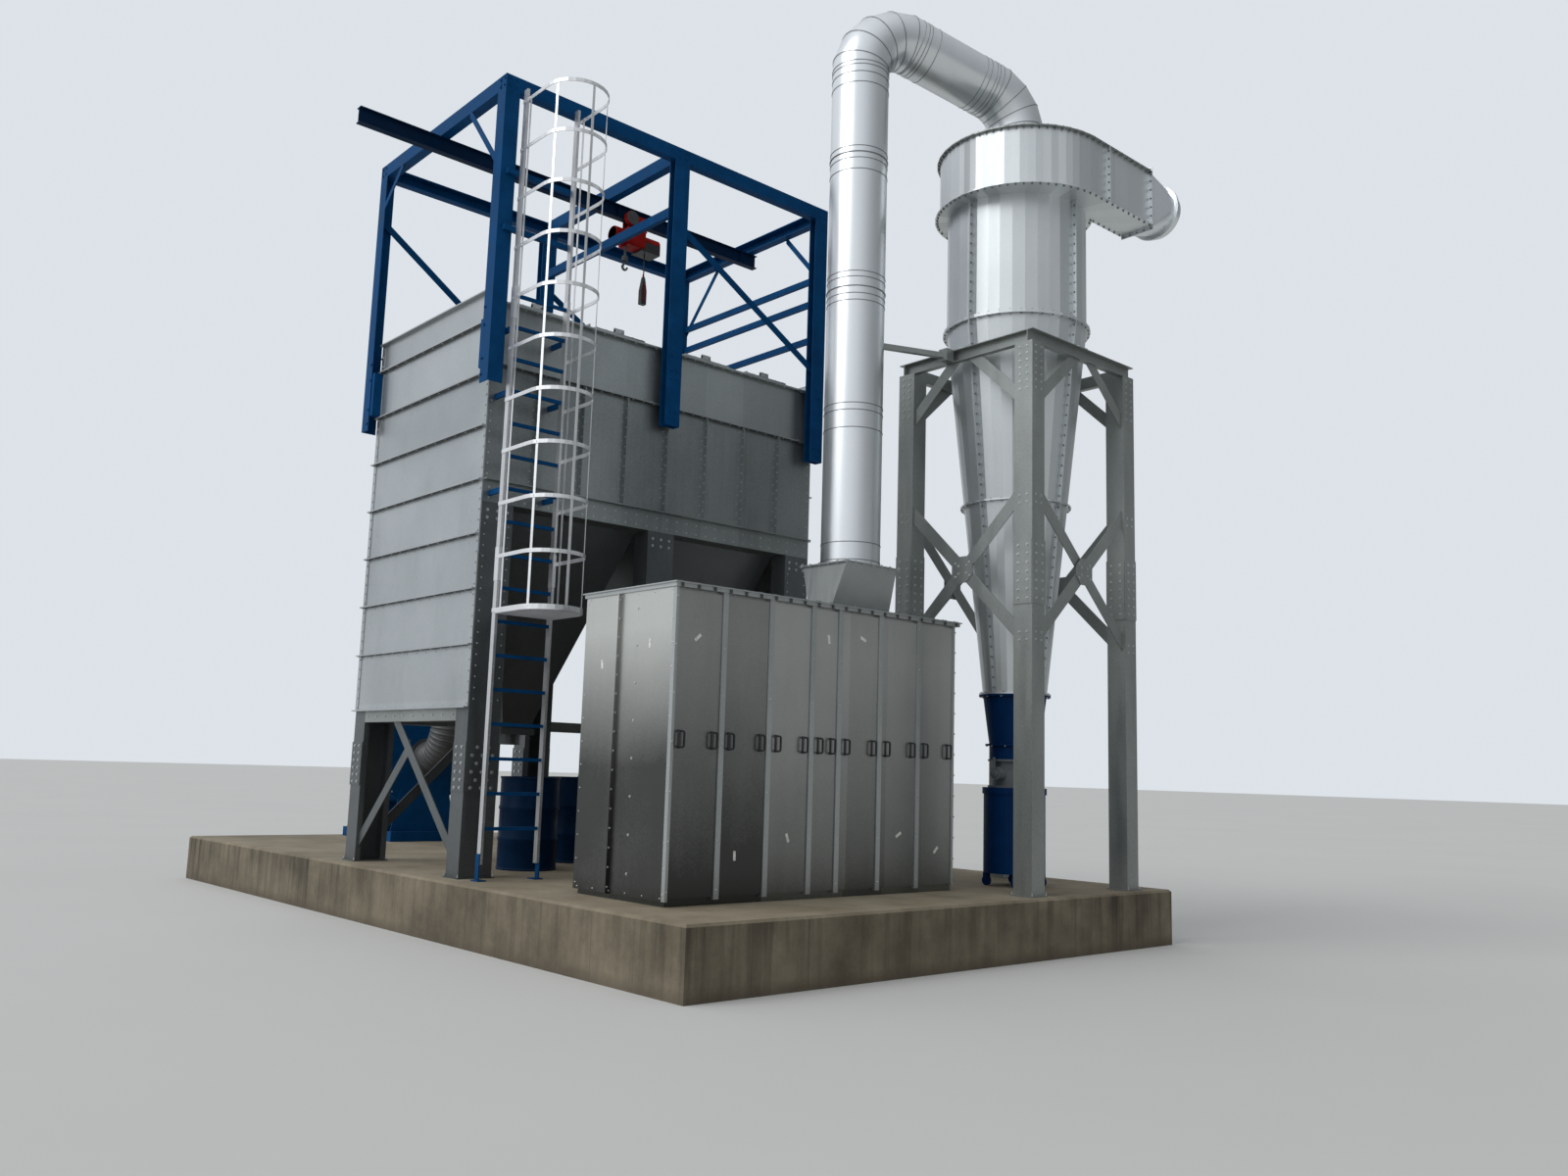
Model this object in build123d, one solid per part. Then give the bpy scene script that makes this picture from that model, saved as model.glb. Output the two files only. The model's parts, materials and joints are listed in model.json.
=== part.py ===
from build123d import *
from math import atan2, cos, degrees, hypot, pi, radians, sin, sqrt, tan
import os

# Activated carbon filter plant on its concrete plinth, in millimetres.
# X runs along the door face, Y runs along the long side of the plinth, Z is up.
# The origin is the middle of the plinth's underside.

# Plinth
PLINTH_X = 5800
PLINTH_Y = 10080
PLINTH_H = 510
PLINTH_EDGE = 20
DECK = PLINTH_H

# Adsorber housing: folded sheet walls
HOUSE_X = -2700
HOUSE_Y = -1540
HOUSE_LEN = 4000
HOUSE_WIDTH = 2380
SIDE_TOP = DECK + 5225
SIDE_BOTTOM = DECK + 3540
BEAM_BOTTOM = DECK + 3345
END_TOP = DECK + 5350
END_BOTTOM = DECK + 1480
BAND_BOTTOM = DECK + 4630
SHEET = 6
RIB = 50
RIB_T = 12
RIB_EDGE = 6
EDGE_STRIP = 60
BAYS = 8
BAY = HOUSE_LEN / BAYS
STIFFENER_TOP = DECK + 5050
STIFFENER_STEP = 500
STIFFENERS = 7

# Housing legs and beams: lipped channels
LEG_X = 320
LEG_Y = 230
LEG_WALL = 8
LEG_LIP = 55
FOOT_EDGE = 18
FOOT_T = 12
SPLICE_LOW = DECK + 745
SPLICE_HIGH = DECK + 1175
CROSS_BEAM = 120
LOW_BEAM_H = 110
BEAM_WALL = 8
LEG_BRACE = 100
LEG_BRACE_T = 10
LEG_BRACE_INSET = 25
LONG_BRACE_FOOT = DECK + 250
LONG_BRACE_REACH = 1460
SHORT_BRACE_FOOT = DECK + 210
SHORT_BRACE_REACH = 1200
SHORT_BRACE_HEAD = DECK + 1110
BACK_BRACE_FOOT = DECK + 340
BACK_BRACE_SHIFT = 250

# Roof hatches, by the X of their middles from the near end
HATCH_PLACES = (560, 1515, 2640, 3465)
HATCH_SIZE = 520
HATCH_LID = 600
HATCH_COLLAR = 95
HATCH_LID_T = 16
HATCH_SETBACK = 175
ROOF_SEAM_STEP = 1000
ROOF_SEAM_H = 25

# Hoppers below the housing, and the duct that feeds them from the box
HOPPER_FOOT = DECK + 1350
HOPPER_MOUTH = 300
GATE_SIZE = 380
GATE_H = 60
SPOUT_R = 120
SPOUT_H = 100
HOPPER_RIM_T = 12
FEED_X = (0, 440)
FEED_Z = (DECK + 1650, DECK + 2100)
FEED_FLANGE = 40

# Hoist frame round the top of the housing
POST_BOTTOM = DECK + 4415
FRAME_TOP = DECK + 7380
FRAME_BEAM = 140
FRAME_BEAM_W = 100
POST_WEB = 184
POST_DEPTH = 100
CORNER_POST = 150
CORNER_OFFSET = 110
PLATE = 10
ROUND_SIDES = 36
MID_POST = 1868
FAR_POST_REACH = 40
PACKER_LOW = DECK + 4570
PACKER_HIGH = DECK + 5030
PACKER_START = 96
PACKER_LEN = 110
KNEE_W = 55
NEAR_KNEES = ((DECK + 6600, 540), (DECK + 6898, -384))
FAR_KNEES = ((DECK + 6580, 600), (DECK + 6560, -600))
FRAME_BRACE_W = 75
FAR_BRACE_TOP = DECK + 6525
FAR_BRACE_FOOT = DECK + 5393
NEAR_BRACE_TOP = DECK + 6774
NEAR_BRACE_FOOT = DECK + 5279
TIE_LEVEL = DECK + 6670
TIE_H = 100
TIE_W = 50
TIE_SHIFT = 40
RAIL_LEVELS = (DECK + 6555, DECK + 6278, DECK + 5845)
GUARD_H = 70
GUARD_W = 40

# Monorail and hoist
RAIL_H = 160
RAIL_W = 82
RAIL_WEB = 8
RAIL_FLANGE = 10
RAIL_OVERHANG = 945
RAIL_END = 4090
HOIST_X = HOUSE_X + 2310
TRAVEL_LOW = -100
TRAVEL_HIGH = 1400
STOP_REACH = 140
WHEEL_R = 32
WHEEL_X = 70
WHEEL_INSET = 10
WHEEL_GAP = 2
TROLLEY_GAP = 8
TROLLEY_T = 8
TROLLEY_HALF = 130
TROLLEY_DROP = 74
TROLLEY_RISE = 90
PIN_DROP = 55
PIN_R = 12
TROLLEY_DRUM_X = 110
TROLLEY_DRUM_Z = 20
TROLLEY_DRUM_R = 80
TROLLEY_DRUM_LEN = 60
HOIST_AXIS_Z = DECK + 6890
GEAR_LEFT = 140
GEAR_RIGHT = 80
GEAR_HALF = 110
GEAR_UP = 110
GEAR_DOWN = 100
GEAR_EDGE = 25
LUG_HALF = 25
HOIST_MOTOR_R = 85
MOTOR_END = 300
COVER_END = 300
CHAIN_BOX_X = (40, 290)
CHAIN_BOX_HALF = 100
CHAIN_BOX_LOW = DECK + 6767
CHAIN_BOX_LAP = 75
HOOK_SHIFT = 115
HOOK_LOW = DECK + 6506
HOOK_H = 110
HOOK_T = 18
CHAIN_W = 20
SWIVEL_R = 34
SWIVEL_H = 60
HOOK_PROFILE = (
    (-11, 8), (-11, -22), (-38, -50), (-40, -80), (-18, -108), (14, -110), (38, -90), (40, -62),
    (26, -62), (22, -78), (6, -90), (-10, -84), (-16, -68), (-8, -46), (11, -24), (11, 8),
)
PENDANT_X = 145
PENDANT_TOP = DECK + 6500
PENDANT_H = 320
PENDANT_NECK_W = 30
PENDANT_NECK_H = 45
PENDANT_W = 72
PENDANT_D = 56
CABLE_R = 7

# Filter box with lift-off doors
BOX_X = -2440
BOX_Y = -4175
BOX_LEN = 3220
BOX_DEPTH = 1220
BOX_TOP = DECK + 2400
BOX_RAIL = 40
DOOR_WIDTHS = (480, 480, 460, 310, 485, 485, 480)
DOOR_T = 30
DOOR_INSET = 12
DOOR_SILL = 20
BASE_INSET = 30
STILE_W = 50
STILE_GAP = 2
LID_H = 40
LID_EDGE = 14
END_SEAM = 720
END_SEAM_PROUD = 30
HANDLE_INSET = 84
HANDLE_Z = DECK + 1380
HANDLE_W = 76
HANDLE_H = 134
HANDLE_T = 15
HANDLE_PROUD = 34

# Round ducts
DUCT_R = 279
DUCT_WALL = 4
RISER_X = -40
RISER_Y = -3580
ELBOW_R = 470
RUN_START_Z = DECK + 8285
RUN_END_Z = DECK + 7866
HOOD_TOP = DECK + 2855
HOOD_FLANGE = (640, 566)
HOOD_FOOT = (746, 254)
HOOD_RIM = 24
HOOD_RIM_T = 12
COLLAR_REACH = 9
COLLAR_H = 60
TOP_GORES = 5
DROP_GORES = 4
STRUT_DROP = 60
STRUT_W = 50
STRUT_PLACE = 0.6

# Cyclone: folded from flat facets
CYCLONE_X = 1710
CYCLONE_Y = -4103
CYCLONE_ROOF = DECK + 7200
FACETS = 36
SCROLL_H = 600
SCROLL_R = 900
SCROLL_SHRINK = 0.92
SCROLL_MIN = 712
SCROLL_STEP = 10
ROOF_RIM = 32
ROOF_T = 12
FLOOR_RIM = 48
FLOOR_T = 10
SCROLL_SEAM_X = 270
INLET_X = 1020
INLET_INNER = 600
INLET_FLANGE = 35
INLET_FLANGE_T = 12
INLET_TAPER = 330
INLET_SIDES = 24
COLLAR_R = 250
COLLAR_LEN = 100
BARREL_R = 690
BARREL_BOTTOM = DECK + 5400
CONE_MID = DECK + 3622
CONE_BOTTOM = DECK + 1790
CONE_R = 303
RIM = 38
RIM_T = 16
SEAM = 42
SEAM_T = 12
SEAM_LAP = 20
LUG_W = 150
LUG_H = 20
LUG_REACH = 20

# Dust hopper, valve and bin below the cyclone
DUST_HOPPER_LOW = DECK + 1315
DUST_HOPPER_R = 240
DUST_VALVE_TOP = DECK + 1178
DUST_VALVE_BOTTOM = DECK + 913
VALVE_R = 205
VALVE_RIM_R = 252
VALVE_RIM_T = 18
BIN_BOTTOM = DECK + 120
BIN_R = 290
BIN_LID_R = 303
BIN_LID_H = 60
VALVE_BOSS = 290
VALVE_BOSS_R = 60
CASTOR_X = 200
CASTOR_Y = 170
CASTOR_R = 45
CASTOR_T = 30

# Cyclone tower
TOWER_X = 896
TOWER_Y = -4925
TOWER_LEN = 1627
TOWER_WIDTH = 1644
TOWER_TOP = DECK + 5075
TOWER_POST_X = 180
TOWER_POST_Y = 200
TOWER_RING_H = 120
TOWER_RING_W = 64
TOWER_RING_WALL = 8
TOWER_SPLICE_LOW = DECK + 2540
TOWER_SPLICE_HIGH = DECK + 3120
CROSS_LOW = DECK + 2320
CROSS_HIGH = DECK + 3520
CROSS_W = 120
CROSS_T = 8
CROSS_INSET = 30
GUSSET_R = 135
KNEE_FOOT = DECK + 4500
KNEE_SPREAD = 130
TOWER_KNEE_W = 110

# Caged ladder on the long side
LADDER_X = HOUSE_X + 60
LADDER_WIDTH = 580
LADDER_Y = HOUSE_Y - 200
LADDER_BOTTOM = DECK + 140
LADDER_TOP = DECK + 7250
STILE_DEPTH = 60
STILE_T = 25
RUNG_STEP = 300
RUNG_TOP = DECK + 5350
RUNG_H = 30
RUNG_D = 30
FOOT_ANGLE_TOP = DECK + 230
FOOT_PLATE_T = 10
FOOT_BASE = 30
FRAME_ARM_LAP = 100
WALL_ARMS = (DECK + 3400, DECK + 4300, DECK + 4900)
FRAME_ARMS = (DECK + 5850, DECK + 6400)
ARM_H = 50
CAGE_BOTTOM = DECK + 2318
CAGE_HOOPS = 11
CAGE_STEP = 479
CAGE_R = LADDER_WIDTH / 2 + 6
CAGE_DEPTH = 700
CAGE_BAR = 6
CAGE_HOOP_H = 35
CAGE_FLATS = 13
CAGE_STRAP_FLATS = (1, 6, 11)
CAGE_STRAP_BACK = 60
STRAP_W = 25
STRAP_T = 4
HATCH_PLATE_T = 12

# Drums below the hoppers
DRUM_PLACES = ((-1595, -800), (-640, -100))
DRUM_R = 290
DRUM_H = 880
DRUM_HOOP = 8
DRUM_HOOP_LEVELS = (285, 575, 860)
DRUM_HOOP_H = 20

# Fan: spiral casing with its axis along Y
FAN_X = -590
FAN_Y = 3480
FAN_AXIS_Z = DECK + 1050
FAN_WIDTH = 480
FAN_R = 520
FAN_GROW = 0.62
FAN_START = -75
FAN_STEP = 15
FAN_MOUTH_W = 460
FAN_MOUTH_Z = 900
FAN_TONGUE_Z = 500
FAN_RIM = 35
FAN_RIM_T = 12
CRADLE_T = 12
CRADLE_FOOT = 430
CRADLE_HEAD = 300
CRADLE_TOP = DECK + 800
FAN_BASE_X = 470
FAN_BASE_Y = (3360, 4800)
FAN_BASE_H = 120
FAN_BASE_W = 60
MOTOR_R = 190
MOTOR_Y = (4120, 4680)
MOTOR_BOX = 110
PEDESTAL_X = 170
SHAFT_R = 35

# Suction duct from the housing's back wall down to the fan's eye
HOSE_R = 205
HOSE_CORNER_Y = 2980
HOSE_BEND = 430
HOSE_GORES = 6
HOSE_TOP = DECK + 1550
OUTLET_Z = DECK + 4050
OUTLET_BEND = 400
OUTLET_GORES = 5
PLENUM_X = (-900, -280)
PLENUM_Y = 1140
PLENUM_HALF_Z = 300
DUCT_FLANGE = 30

os.makedirs("parts", exist_ok=True)


def save(name, solids):
    """Write one node from a list of solids."""
    export_step(Compound(children=list(solids)), f"parts/{name}.step")


def block(x, y, z):
    """A box between a low and a high limit on each axis."""
    limits = (x, y, z)
    size = [high - low for low, high in limits]
    middle = [(high + low) / 2 for low, high in limits]
    return Pos(*middle) * Box(*size)


def span(start, reach):
    """Low and high limit of a stretch that runs from start by reach, either way."""
    return tuple(sorted((start, start + reach)))


def around(middle, half):
    """Limits at half a width either side of a middle."""
    return (middle - half, middle + half)


def fuse(shapes):
    """Join touching shapes into one."""
    shapes = list(shapes)
    return shapes[0].fuse(*shapes[1:]) if len(shapes) > 1 else shapes[0]


def upright(x, y, z, radius, height):
    """A vertical round form in narrow flats, standing on height z."""
    return extrude(Pos(x, y, z) * RegularPolygon(radius, ROUND_SIDES), amount=height)


def prism(outline, z, height):
    """A flat outline of corner points, raised from z by height."""
    face = make_face(Polyline(*[(x, y, z) for x, y in outline], close=True))
    return extrude(face, amount=height, dir=(0, 0, 1))


def bar(start, end, width, depth, side=(0, 0, 1)):
    """A straight rectangular bar whose width lies along side."""
    start = Vector(*start)
    run = Vector(*end) - start
    axis = run.normalized()
    side = Vector(*side)
    across = side - axis * side.dot(axis)
    plane = Plane(origin=start, x_dir=across.normalized(), z_dir=axis)
    return extrude(plane * Rectangle(width, depth), amount=run.length)


def brace(start, end, width, depth, bay):
    """A flat diagonal bar cut off square with the bay it crosses."""
    reach = (Vector(*end) - Vector(*start)).normalized() * (2 * width)
    long_bar = bar(Vector(*start) - reach, Vector(*end) + reach, width, depth)
    return long_bar & block(*bay)


def rod(start, end, radius, sides=0):
    """A straight round bar, or one in narrow flats where a number of sides is given."""
    start = Vector(*start)
    run = Vector(*end) - start
    plane = Plane(origin=start, z_dir=run.normalized())
    section = RegularPolygon(radius, sides) if sides else Circle(radius)
    return extrude(plane * section, amount=run.length)


def skin(low, high):
    """A solid with flat sides between two matching rings of corner points."""
    faces = [Face(Wire.make_polygon(low)), Face(Wire.make_polygon(high))]
    for i in range(len(low)):
        j = (i + 1) % len(low)
        faces.append(Face(Wire.make_polygon([low[i], low[j], high[j], high[i]])))
    return Solid(Shell(faces))


def square_ring(x, y, z):
    """Corner points of a rectangle between X and Y limits at height z."""
    return [(x[0], y[0], z), (x[1], y[0], z), (x[1], y[1], z), (x[0], y[1], z)]


def facet_ring(radius, z):
    """Corner points of the cyclone's many-sided plan at height z."""
    turns = [2 * pi * (i + 1 / 2) / FACETS for i in range(FACETS)]
    return [(CYCLONE_X + radius * cos(a), CYCLONE_Y + radius * sin(a), z) for a in turns]


def octagon(x, y, radius):
    """Corner points of an eight-sided outline round a middle point."""
    turns = [pi / 8 + pi / 4 * i for i in range(8)]
    return [(x + radius * cos(a), y + radius * sin(a)) for a in turns]


def lipped_post(x, y, z, open_side, wall, lip):
    """An upright lipped channel, open towards open_side along Y."""
    cavity = block((x[0] + wall, x[1] - wall), (y[0] + wall, y[1] - wall), z)
    slot_y = (y[1] - wall, y[1]) if open_side > 0 else (y[0], y[0] + wall)
    slot = block((x[0] + lip, x[1] - lip), slot_y, z)
    return block(x, y, z) - cavity - slot


def beam_x(x, y, z, open_side, wall):
    """A channel lying along X, open towards open_side along Y."""
    groove_y = (y[0] + wall, y[1]) if open_side > 0 else (y[0], y[1] - wall)
    return block(x, y, z) - block(x, groove_y, (z[0] + wall, z[1] - wall))


def beam_y(x, y, z, open_side, wall):
    """A channel lying along Y, open towards open_side along X."""
    groove_x = (x[0] + wall, x[1]) if open_side > 0 else (x[0], x[1] - wall)
    return block(x, y, z) - block(groove_x, y, (z[0] + wall, z[1] - wall))


# Places on the housing that several pieces share
house_x1 = HOUSE_X + HOUSE_LEN
house_y1 = HOUSE_Y + HOUSE_WIDTH
house_mid_y = HOUSE_Y + HOUSE_WIDTH / 2
leg_rows = ((HOUSE_Y, 1), (house_y1 - LEG_Y, -1))
leg_columns = (HOUSE_X, HOUSE_X + (HOUSE_LEN - LEG_X) / 2, house_x1 - LEG_X)
bays_x = (
    (leg_columns[0] + LEG_X, leg_columns[1]),
    (leg_columns[1] + LEG_X, leg_columns[2]),
)
low_beam_z = (END_BOTTOM - LOW_BEAM_H, END_BOTTOM)


def concrete_plinth():
    """Cast plinth with chamfered top arris."""
    body = block((-PLINTH_X / 2, PLINTH_X / 2), (-PLINTH_Y / 2, PLINTH_Y / 2), (0, PLINTH_H))
    top_edges = body.faces().sort_by(Axis.Z)[-1].edges()
    return [chamfer(top_edges, PLINTH_EDGE)]


def housing_legs():
    """Six lipped channels, open inwards, with foot plates and bolted splices."""
    legs = []
    for x0 in leg_columns:
        for y0, open_side in leg_rows:
            x = (x0, x0 + LEG_X)
            y = (y0, y0 + LEG_Y)
            post = lipped_post(x, y, (DECK, BEAM_BOTTOM), open_side, LEG_WALL, LEG_LIP)
            foot_x = (x[0] - FOOT_EDGE, x[1] + FOOT_EDGE)
            foot = block(foot_x, (y[0] - FOOT_EDGE, y[1] + FOOT_EDGE), (DECK, DECK + FOOT_T))
            back_y = y[0] if open_side > 0 else y[1]
            sleeve_y = span(back_y - open_side * LEG_WALL, open_side * LEG_Y)
            sleeve_x = (x[0] - LEG_WALL, x[1] + LEG_WALL)
            sleeve = block(sleeve_x, sleeve_y, (SPLICE_LOW, SPLICE_HIGH))
            sleeve -= block(x, y, (DECK, BEAM_BOTTOM))
            legs.append(fuse([post, foot, sleeve]))
    return legs


def ring_beam_sides():
    """Two long channels under the side walls, on the legs."""
    z = (BEAM_BOTTOM, SIDE_BOTTOM)
    x = (HOUSE_X, house_x1)
    return [beam_x(x, (y, y + LEG_Y), z, open_side, BEAM_WALL) for y, open_side in leg_rows]


def ring_beam_ends():
    """Cross beams between the long beams, and low ones at the end walls' feet and along the back."""
    y = (HOUSE_Y + LEG_Y, house_y1 - LEG_Y)
    beams = []
    for x0, open_side in ((HOUSE_X, 1), (house_x1 - CROSS_BEAM, -1)):
        x = (x0, x0 + CROSS_BEAM)
        beams.append(beam_y(x, y, (BEAM_BOTTOM, SIDE_BOTTOM), open_side, BEAM_WALL))
        beams.append(beam_y(x, y, low_beam_z, open_side, BEAM_WALL))
    back_y = (house_y1 - CROSS_BEAM, house_y1)
    beams += [beam_x(x, back_y, low_beam_z, -1, BEAM_WALL) for x in bays_x]
    return beams


def leg_braces():
    """Diagonals under each end wall and in the back row's bays, from leg foot to low beam."""
    z = (DECK, low_beam_z[0])
    y_bay = (HOUSE_Y + LEG_Y, house_y1 - LEG_Y)
    short_y = HOUSE_Y + SHORT_BRACE_REACH
    braces = []
    for x in (HOUSE_X + LEG_BRACE_INSET, house_x1 - LEG_BRACE_INSET - LEG_BRACE_T):
        bay_x = around(x, LEG_BRACE_INSET)
        foot = (x, y_bay[0], LONG_BRACE_FOOT)
        head = (x, HOUSE_Y + LONG_BRACE_REACH, z[1])
        braces.append(brace(foot, head, LEG_BRACE, LEG_BRACE_T, (bay_x, y_bay, z)))
        foot = (x + LEG_BRACE_T, y_bay[1], SHORT_BRACE_FOOT)
        head = (x + LEG_BRACE_T, short_y, SHORT_BRACE_HEAD)
        short_bay = (bay_x, (short_y - LEG_BRACE_INSET, y_bay[1]), z)
        braces.append(brace(foot, head, LEG_BRACE, LEG_BRACE_T, short_bay))
    y = house_y1 - LEG_Y / 2
    for bay in bays_x:
        foot = (bay[0], y, BACK_BRACE_FOOT)
        head = (sum(bay) / 2 + BACK_BRACE_SHIFT, y, z[1])
        wide = around(y, LEG_BRACE)
        braces.append(brace(foot, head, LEG_BRACE, LEG_BRACE_T, (bay, wide, z)))
    return braces


def end_wall(x_face, out):
    """End wall of flanged panels: a sheet, horizontal flange joints and upright edge strips."""
    wide = (HOUSE_Y, house_y1)
    tall = (END_BOTTOM, END_TOP)
    sheet_x = span(x_face, out * SHEET)
    rib_x = span(x_face + out * SHEET, out * (RIB - SHEET))
    strip_x = span(x_face + out * SHEET, out * RIB_EDGE)
    pieces = [block(sheet_x, wide, tall)]
    levels = [END_BOTTOM, END_TOP - RIB_T]
    levels += [STIFFENER_TOP - STIFFENER_STEP * i - RIB_T for i in range(STIFFENERS)]
    for z in levels:
        pieces.append(block(rib_x, wide, (z, z + RIB_T)))
    for y in (HOUSE_Y, house_y1 - EDGE_STRIP):
        pieces.append(block(strip_x, (y, y + EDGE_STRIP), tall))
    return [fuse(pieces)]


def side_wall(y_face, out):
    """Long side wall: plain band over eight bays of upright flange joints."""
    sheet_y = span(y_face, -out * SHEET)
    rib_y = span(y_face, out * RIB)
    flange_y = span(y_face, out * (RIB + RIB_EDGE))
    x_limits = (HOUSE_X, house_x1)
    pieces = [block(x_limits, sheet_y, (SIDE_BOTTOM, SIDE_TOP))]
    for z in (SIDE_BOTTOM, BAND_BOTTOM, SIDE_TOP - RIB_T):
        pieces.append(block(x_limits, flange_y, (z, z + RIB_T)))
    for i in range(1, BAYS):
        x = HOUSE_X + i * BAY
        pieces.append(block(around(x, RIB_T / 2), rib_y, (SIDE_BOTTOM + RIB_T, BAND_BOTTOM)))
    return [fuse(pieces)]


def housing_roof():
    """Roof sheet with folded seams across it between the hatches."""
    base = SIDE_TOP + RIB_EDGE
    y_limits = (HOUSE_Y - RIB - RIB_EDGE, house_y1 + RIB + RIB_EDGE)
    pieces = [block((HOUSE_X, house_x1), y_limits, (SIDE_TOP, base))]
    for x in range(HOUSE_X + ROOF_SEAM_STEP, house_x1, ROOF_SEAM_STEP):
        pieces.append(block(around(x, RIB_T / 2), y_limits, (base, base + ROOF_SEAM_H)))
    return [fuse(pieces)]


def roof_hatches():
    """Square filling hatches: a collar, a flange round it and a wider lid."""
    hatches = []
    base = SIDE_TOP + RIB_EDGE
    y0 = HOUSE_Y + HATCH_SETBACK
    y_mid = y0 + HATCH_LID / 2
    for place in HATCH_PLACES:
        x_mid = HOUSE_X + place
        pieces = []
        lid_low = base + HATCH_COLLAR
        for half, z in (
            (HATCH_SIZE / 2, (base, lid_low)),
            (HATCH_LID / 2, (lid_low, lid_low + HATCH_LID_T)),
            (HATCH_SIZE / 2, (lid_low + HATCH_LID_T, lid_low + 2 * HATCH_LID_T)),
        ):
            pieces.append(block(around(x_mid, half), around(y_mid, half), z))
        hatches.append(fuse(pieces))
    return hatches


def hopper(x, y, rim_x):
    """A four-sided hopper with a rim plate at its head, a slide gate and a short round spout."""
    mid_x = (x[0] + x[1]) / 2
    mid_y = (y[0] + y[1]) / 2
    half = HOPPER_MOUTH / 2
    mouth = square_ring(around(mid_x, half), around(mid_y, half), HOPPER_FOOT)
    body = skin(mouth, square_ring(x, y, BEAM_BOTTOM))
    rim = block(rim_x, y, (BEAM_BOTTOM, BEAM_BOTTOM + HOPPER_RIM_T))
    half = GATE_SIZE / 2
    gate_low = HOPPER_FOOT - GATE_H
    gate = block(around(mid_x, half), around(mid_y, half), (gate_low, HOPPER_FOOT))
    spout = upright(mid_x, mid_y, gate_low - SPOUT_H, SPOUT_R, SPOUT_H)
    return fuse([body, rim, gate, spout])


def hoppers():
    """Two hoppers, one to each bay between the leg columns."""
    y = (HOUSE_Y + LEG_Y, house_y1 - LEG_Y)
    middle = HOUSE_X + HOUSE_LEN / 2
    rims = ((HOUSE_X + CROSS_BEAM, middle), (middle, house_x1 - CROSS_BEAM))
    return [hopper(x, y, rim_x) for x, rim_x in zip(bays_x, rims)]


def box_to_hopper_duct():
    """Square duct from the filter box's back into the far hopper, with a flange at the box."""
    box_back = BOX_Y + BOX_DEPTH
    duct = block(FEED_X, (box_back, house_mid_y), FEED_Z)
    flange_x = (FEED_X[0] - FEED_FLANGE, FEED_X[1] + FEED_FLANGE)
    flange_z = (FEED_Z[0] - FEED_FLANGE, FEED_Z[1] + FEED_FLANGE)
    flange = block(flange_x, (box_back, box_back + PLATE), flange_z)
    return [fuse([duct, flange]) - hoppers()[1]]


def carbon_drums():
    """Steel drums with rolling hoops and a top rim."""
    drums = []
    for x, y in DRUM_PLACES:
        pieces = [upright(x, y, DECK, DRUM_R - DRUM_HOOP, DRUM_H)]
        pieces += [upright(x, y, DECK + z, DRUM_R, DRUM_HOOP_H) for z in DRUM_HOOP_LEVELS]
        drums.append(fuse(pieces))
    return drums


# Places on the hoist frame that several pieces share
corner_x = HOUSE_X - CORNER_OFFSET
frame_x1 = house_x1 + FAR_POST_REACH
frame_y0 = HOUSE_Y - RIB - RIB_EDGE - POST_DEPTH
frame_y1 = house_y1 + RIB + RIB_EDGE + POST_DEPTH
frame_sides = ((frame_y0, 1), (frame_y1, -1))
frame_low = FRAME_TOP - FRAME_BEAM
post_columns = (HOUSE_X + MID_POST, frame_x1 - POST_WEB)
rail_low = frame_low - RAIL_H


def corner_post(y, inward):
    """Angle post at the near end, with a packer between it and the end wall."""
    z = (POST_BOTTOM, frame_low)
    web = block(span(corner_x, PLATE), span(y, inward * CORNER_POST), z)
    flange = block(span(corner_x, CORNER_POST), span(y, inward * PLATE), z)
    packer_x = (corner_x + PLATE, HOUSE_X - SHEET - RIB_EDGE)
    packer_y = span(y + inward * PACKER_START, inward * PACKER_LEN)
    packer = block(packer_x, packer_y, (PACKER_LOW, PACKER_HIGH))
    return fuse([web, flange, packer])


def channel_post(x_low, y, inward):
    """Side post: channel with one flange on the wall's joints, open towards low X."""
    z = (POST_BOTTOM, frame_low)
    x = (x_low, x_low + POST_WEB)
    front = block(x, span(y, inward * PLATE), z)
    back = block(x, span(y + inward * (POST_DEPTH - PLATE), inward * PLATE), z)
    web = block((x[1] - PLATE, x[1]), span(y, inward * POST_DEPTH), z)
    return fuse([front, back, web])


def hoist_frame_posts():
    """Two corner posts at the near end and two channel posts on each long side."""
    posts = []
    for y, inward in frame_sides:
        posts.append(corner_post(y, inward))
        posts += [channel_post(x, y, inward) for x in post_columns]
    return posts


def frame_long_beams():
    """Top channels of the hoist frame along the housing's long sides."""
    x = (corner_x, frame_x1)
    z = (frame_low, FRAME_TOP)
    return [beam_x(x, span(y, inward * FRAME_BEAM_W), z, inward, PLATE) for y, inward in frame_sides]


def frame_cross_beams():
    """Three top channels that carry the monorail, and a tie between the middle posts."""
    z = (frame_low, FRAME_TOP)
    y = (frame_y0 + FRAME_BEAM_W, frame_y1 - FRAME_BEAM_W)
    far_x = frame_x1 - FRAME_BEAM_W
    beams = []
    for x, open_side in ((corner_x, 1), (post_columns[0] + TIE_SHIFT, 1), (far_x, -1)):
        beams.append(beam_y((x, x + FRAME_BEAM_W), y, z, open_side, PLATE))
    tie_x = (post_columns[0] + TIE_SHIFT, post_columns[0] + TIE_SHIFT + TIE_W)
    tie_y = (frame_y0 + POST_DEPTH, frame_y1 - POST_DEPTH)
    beams.append(block(tie_x, tie_y, (TIE_LEVEL, TIE_LEVEL + TIE_H)))
    return beams


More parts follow.
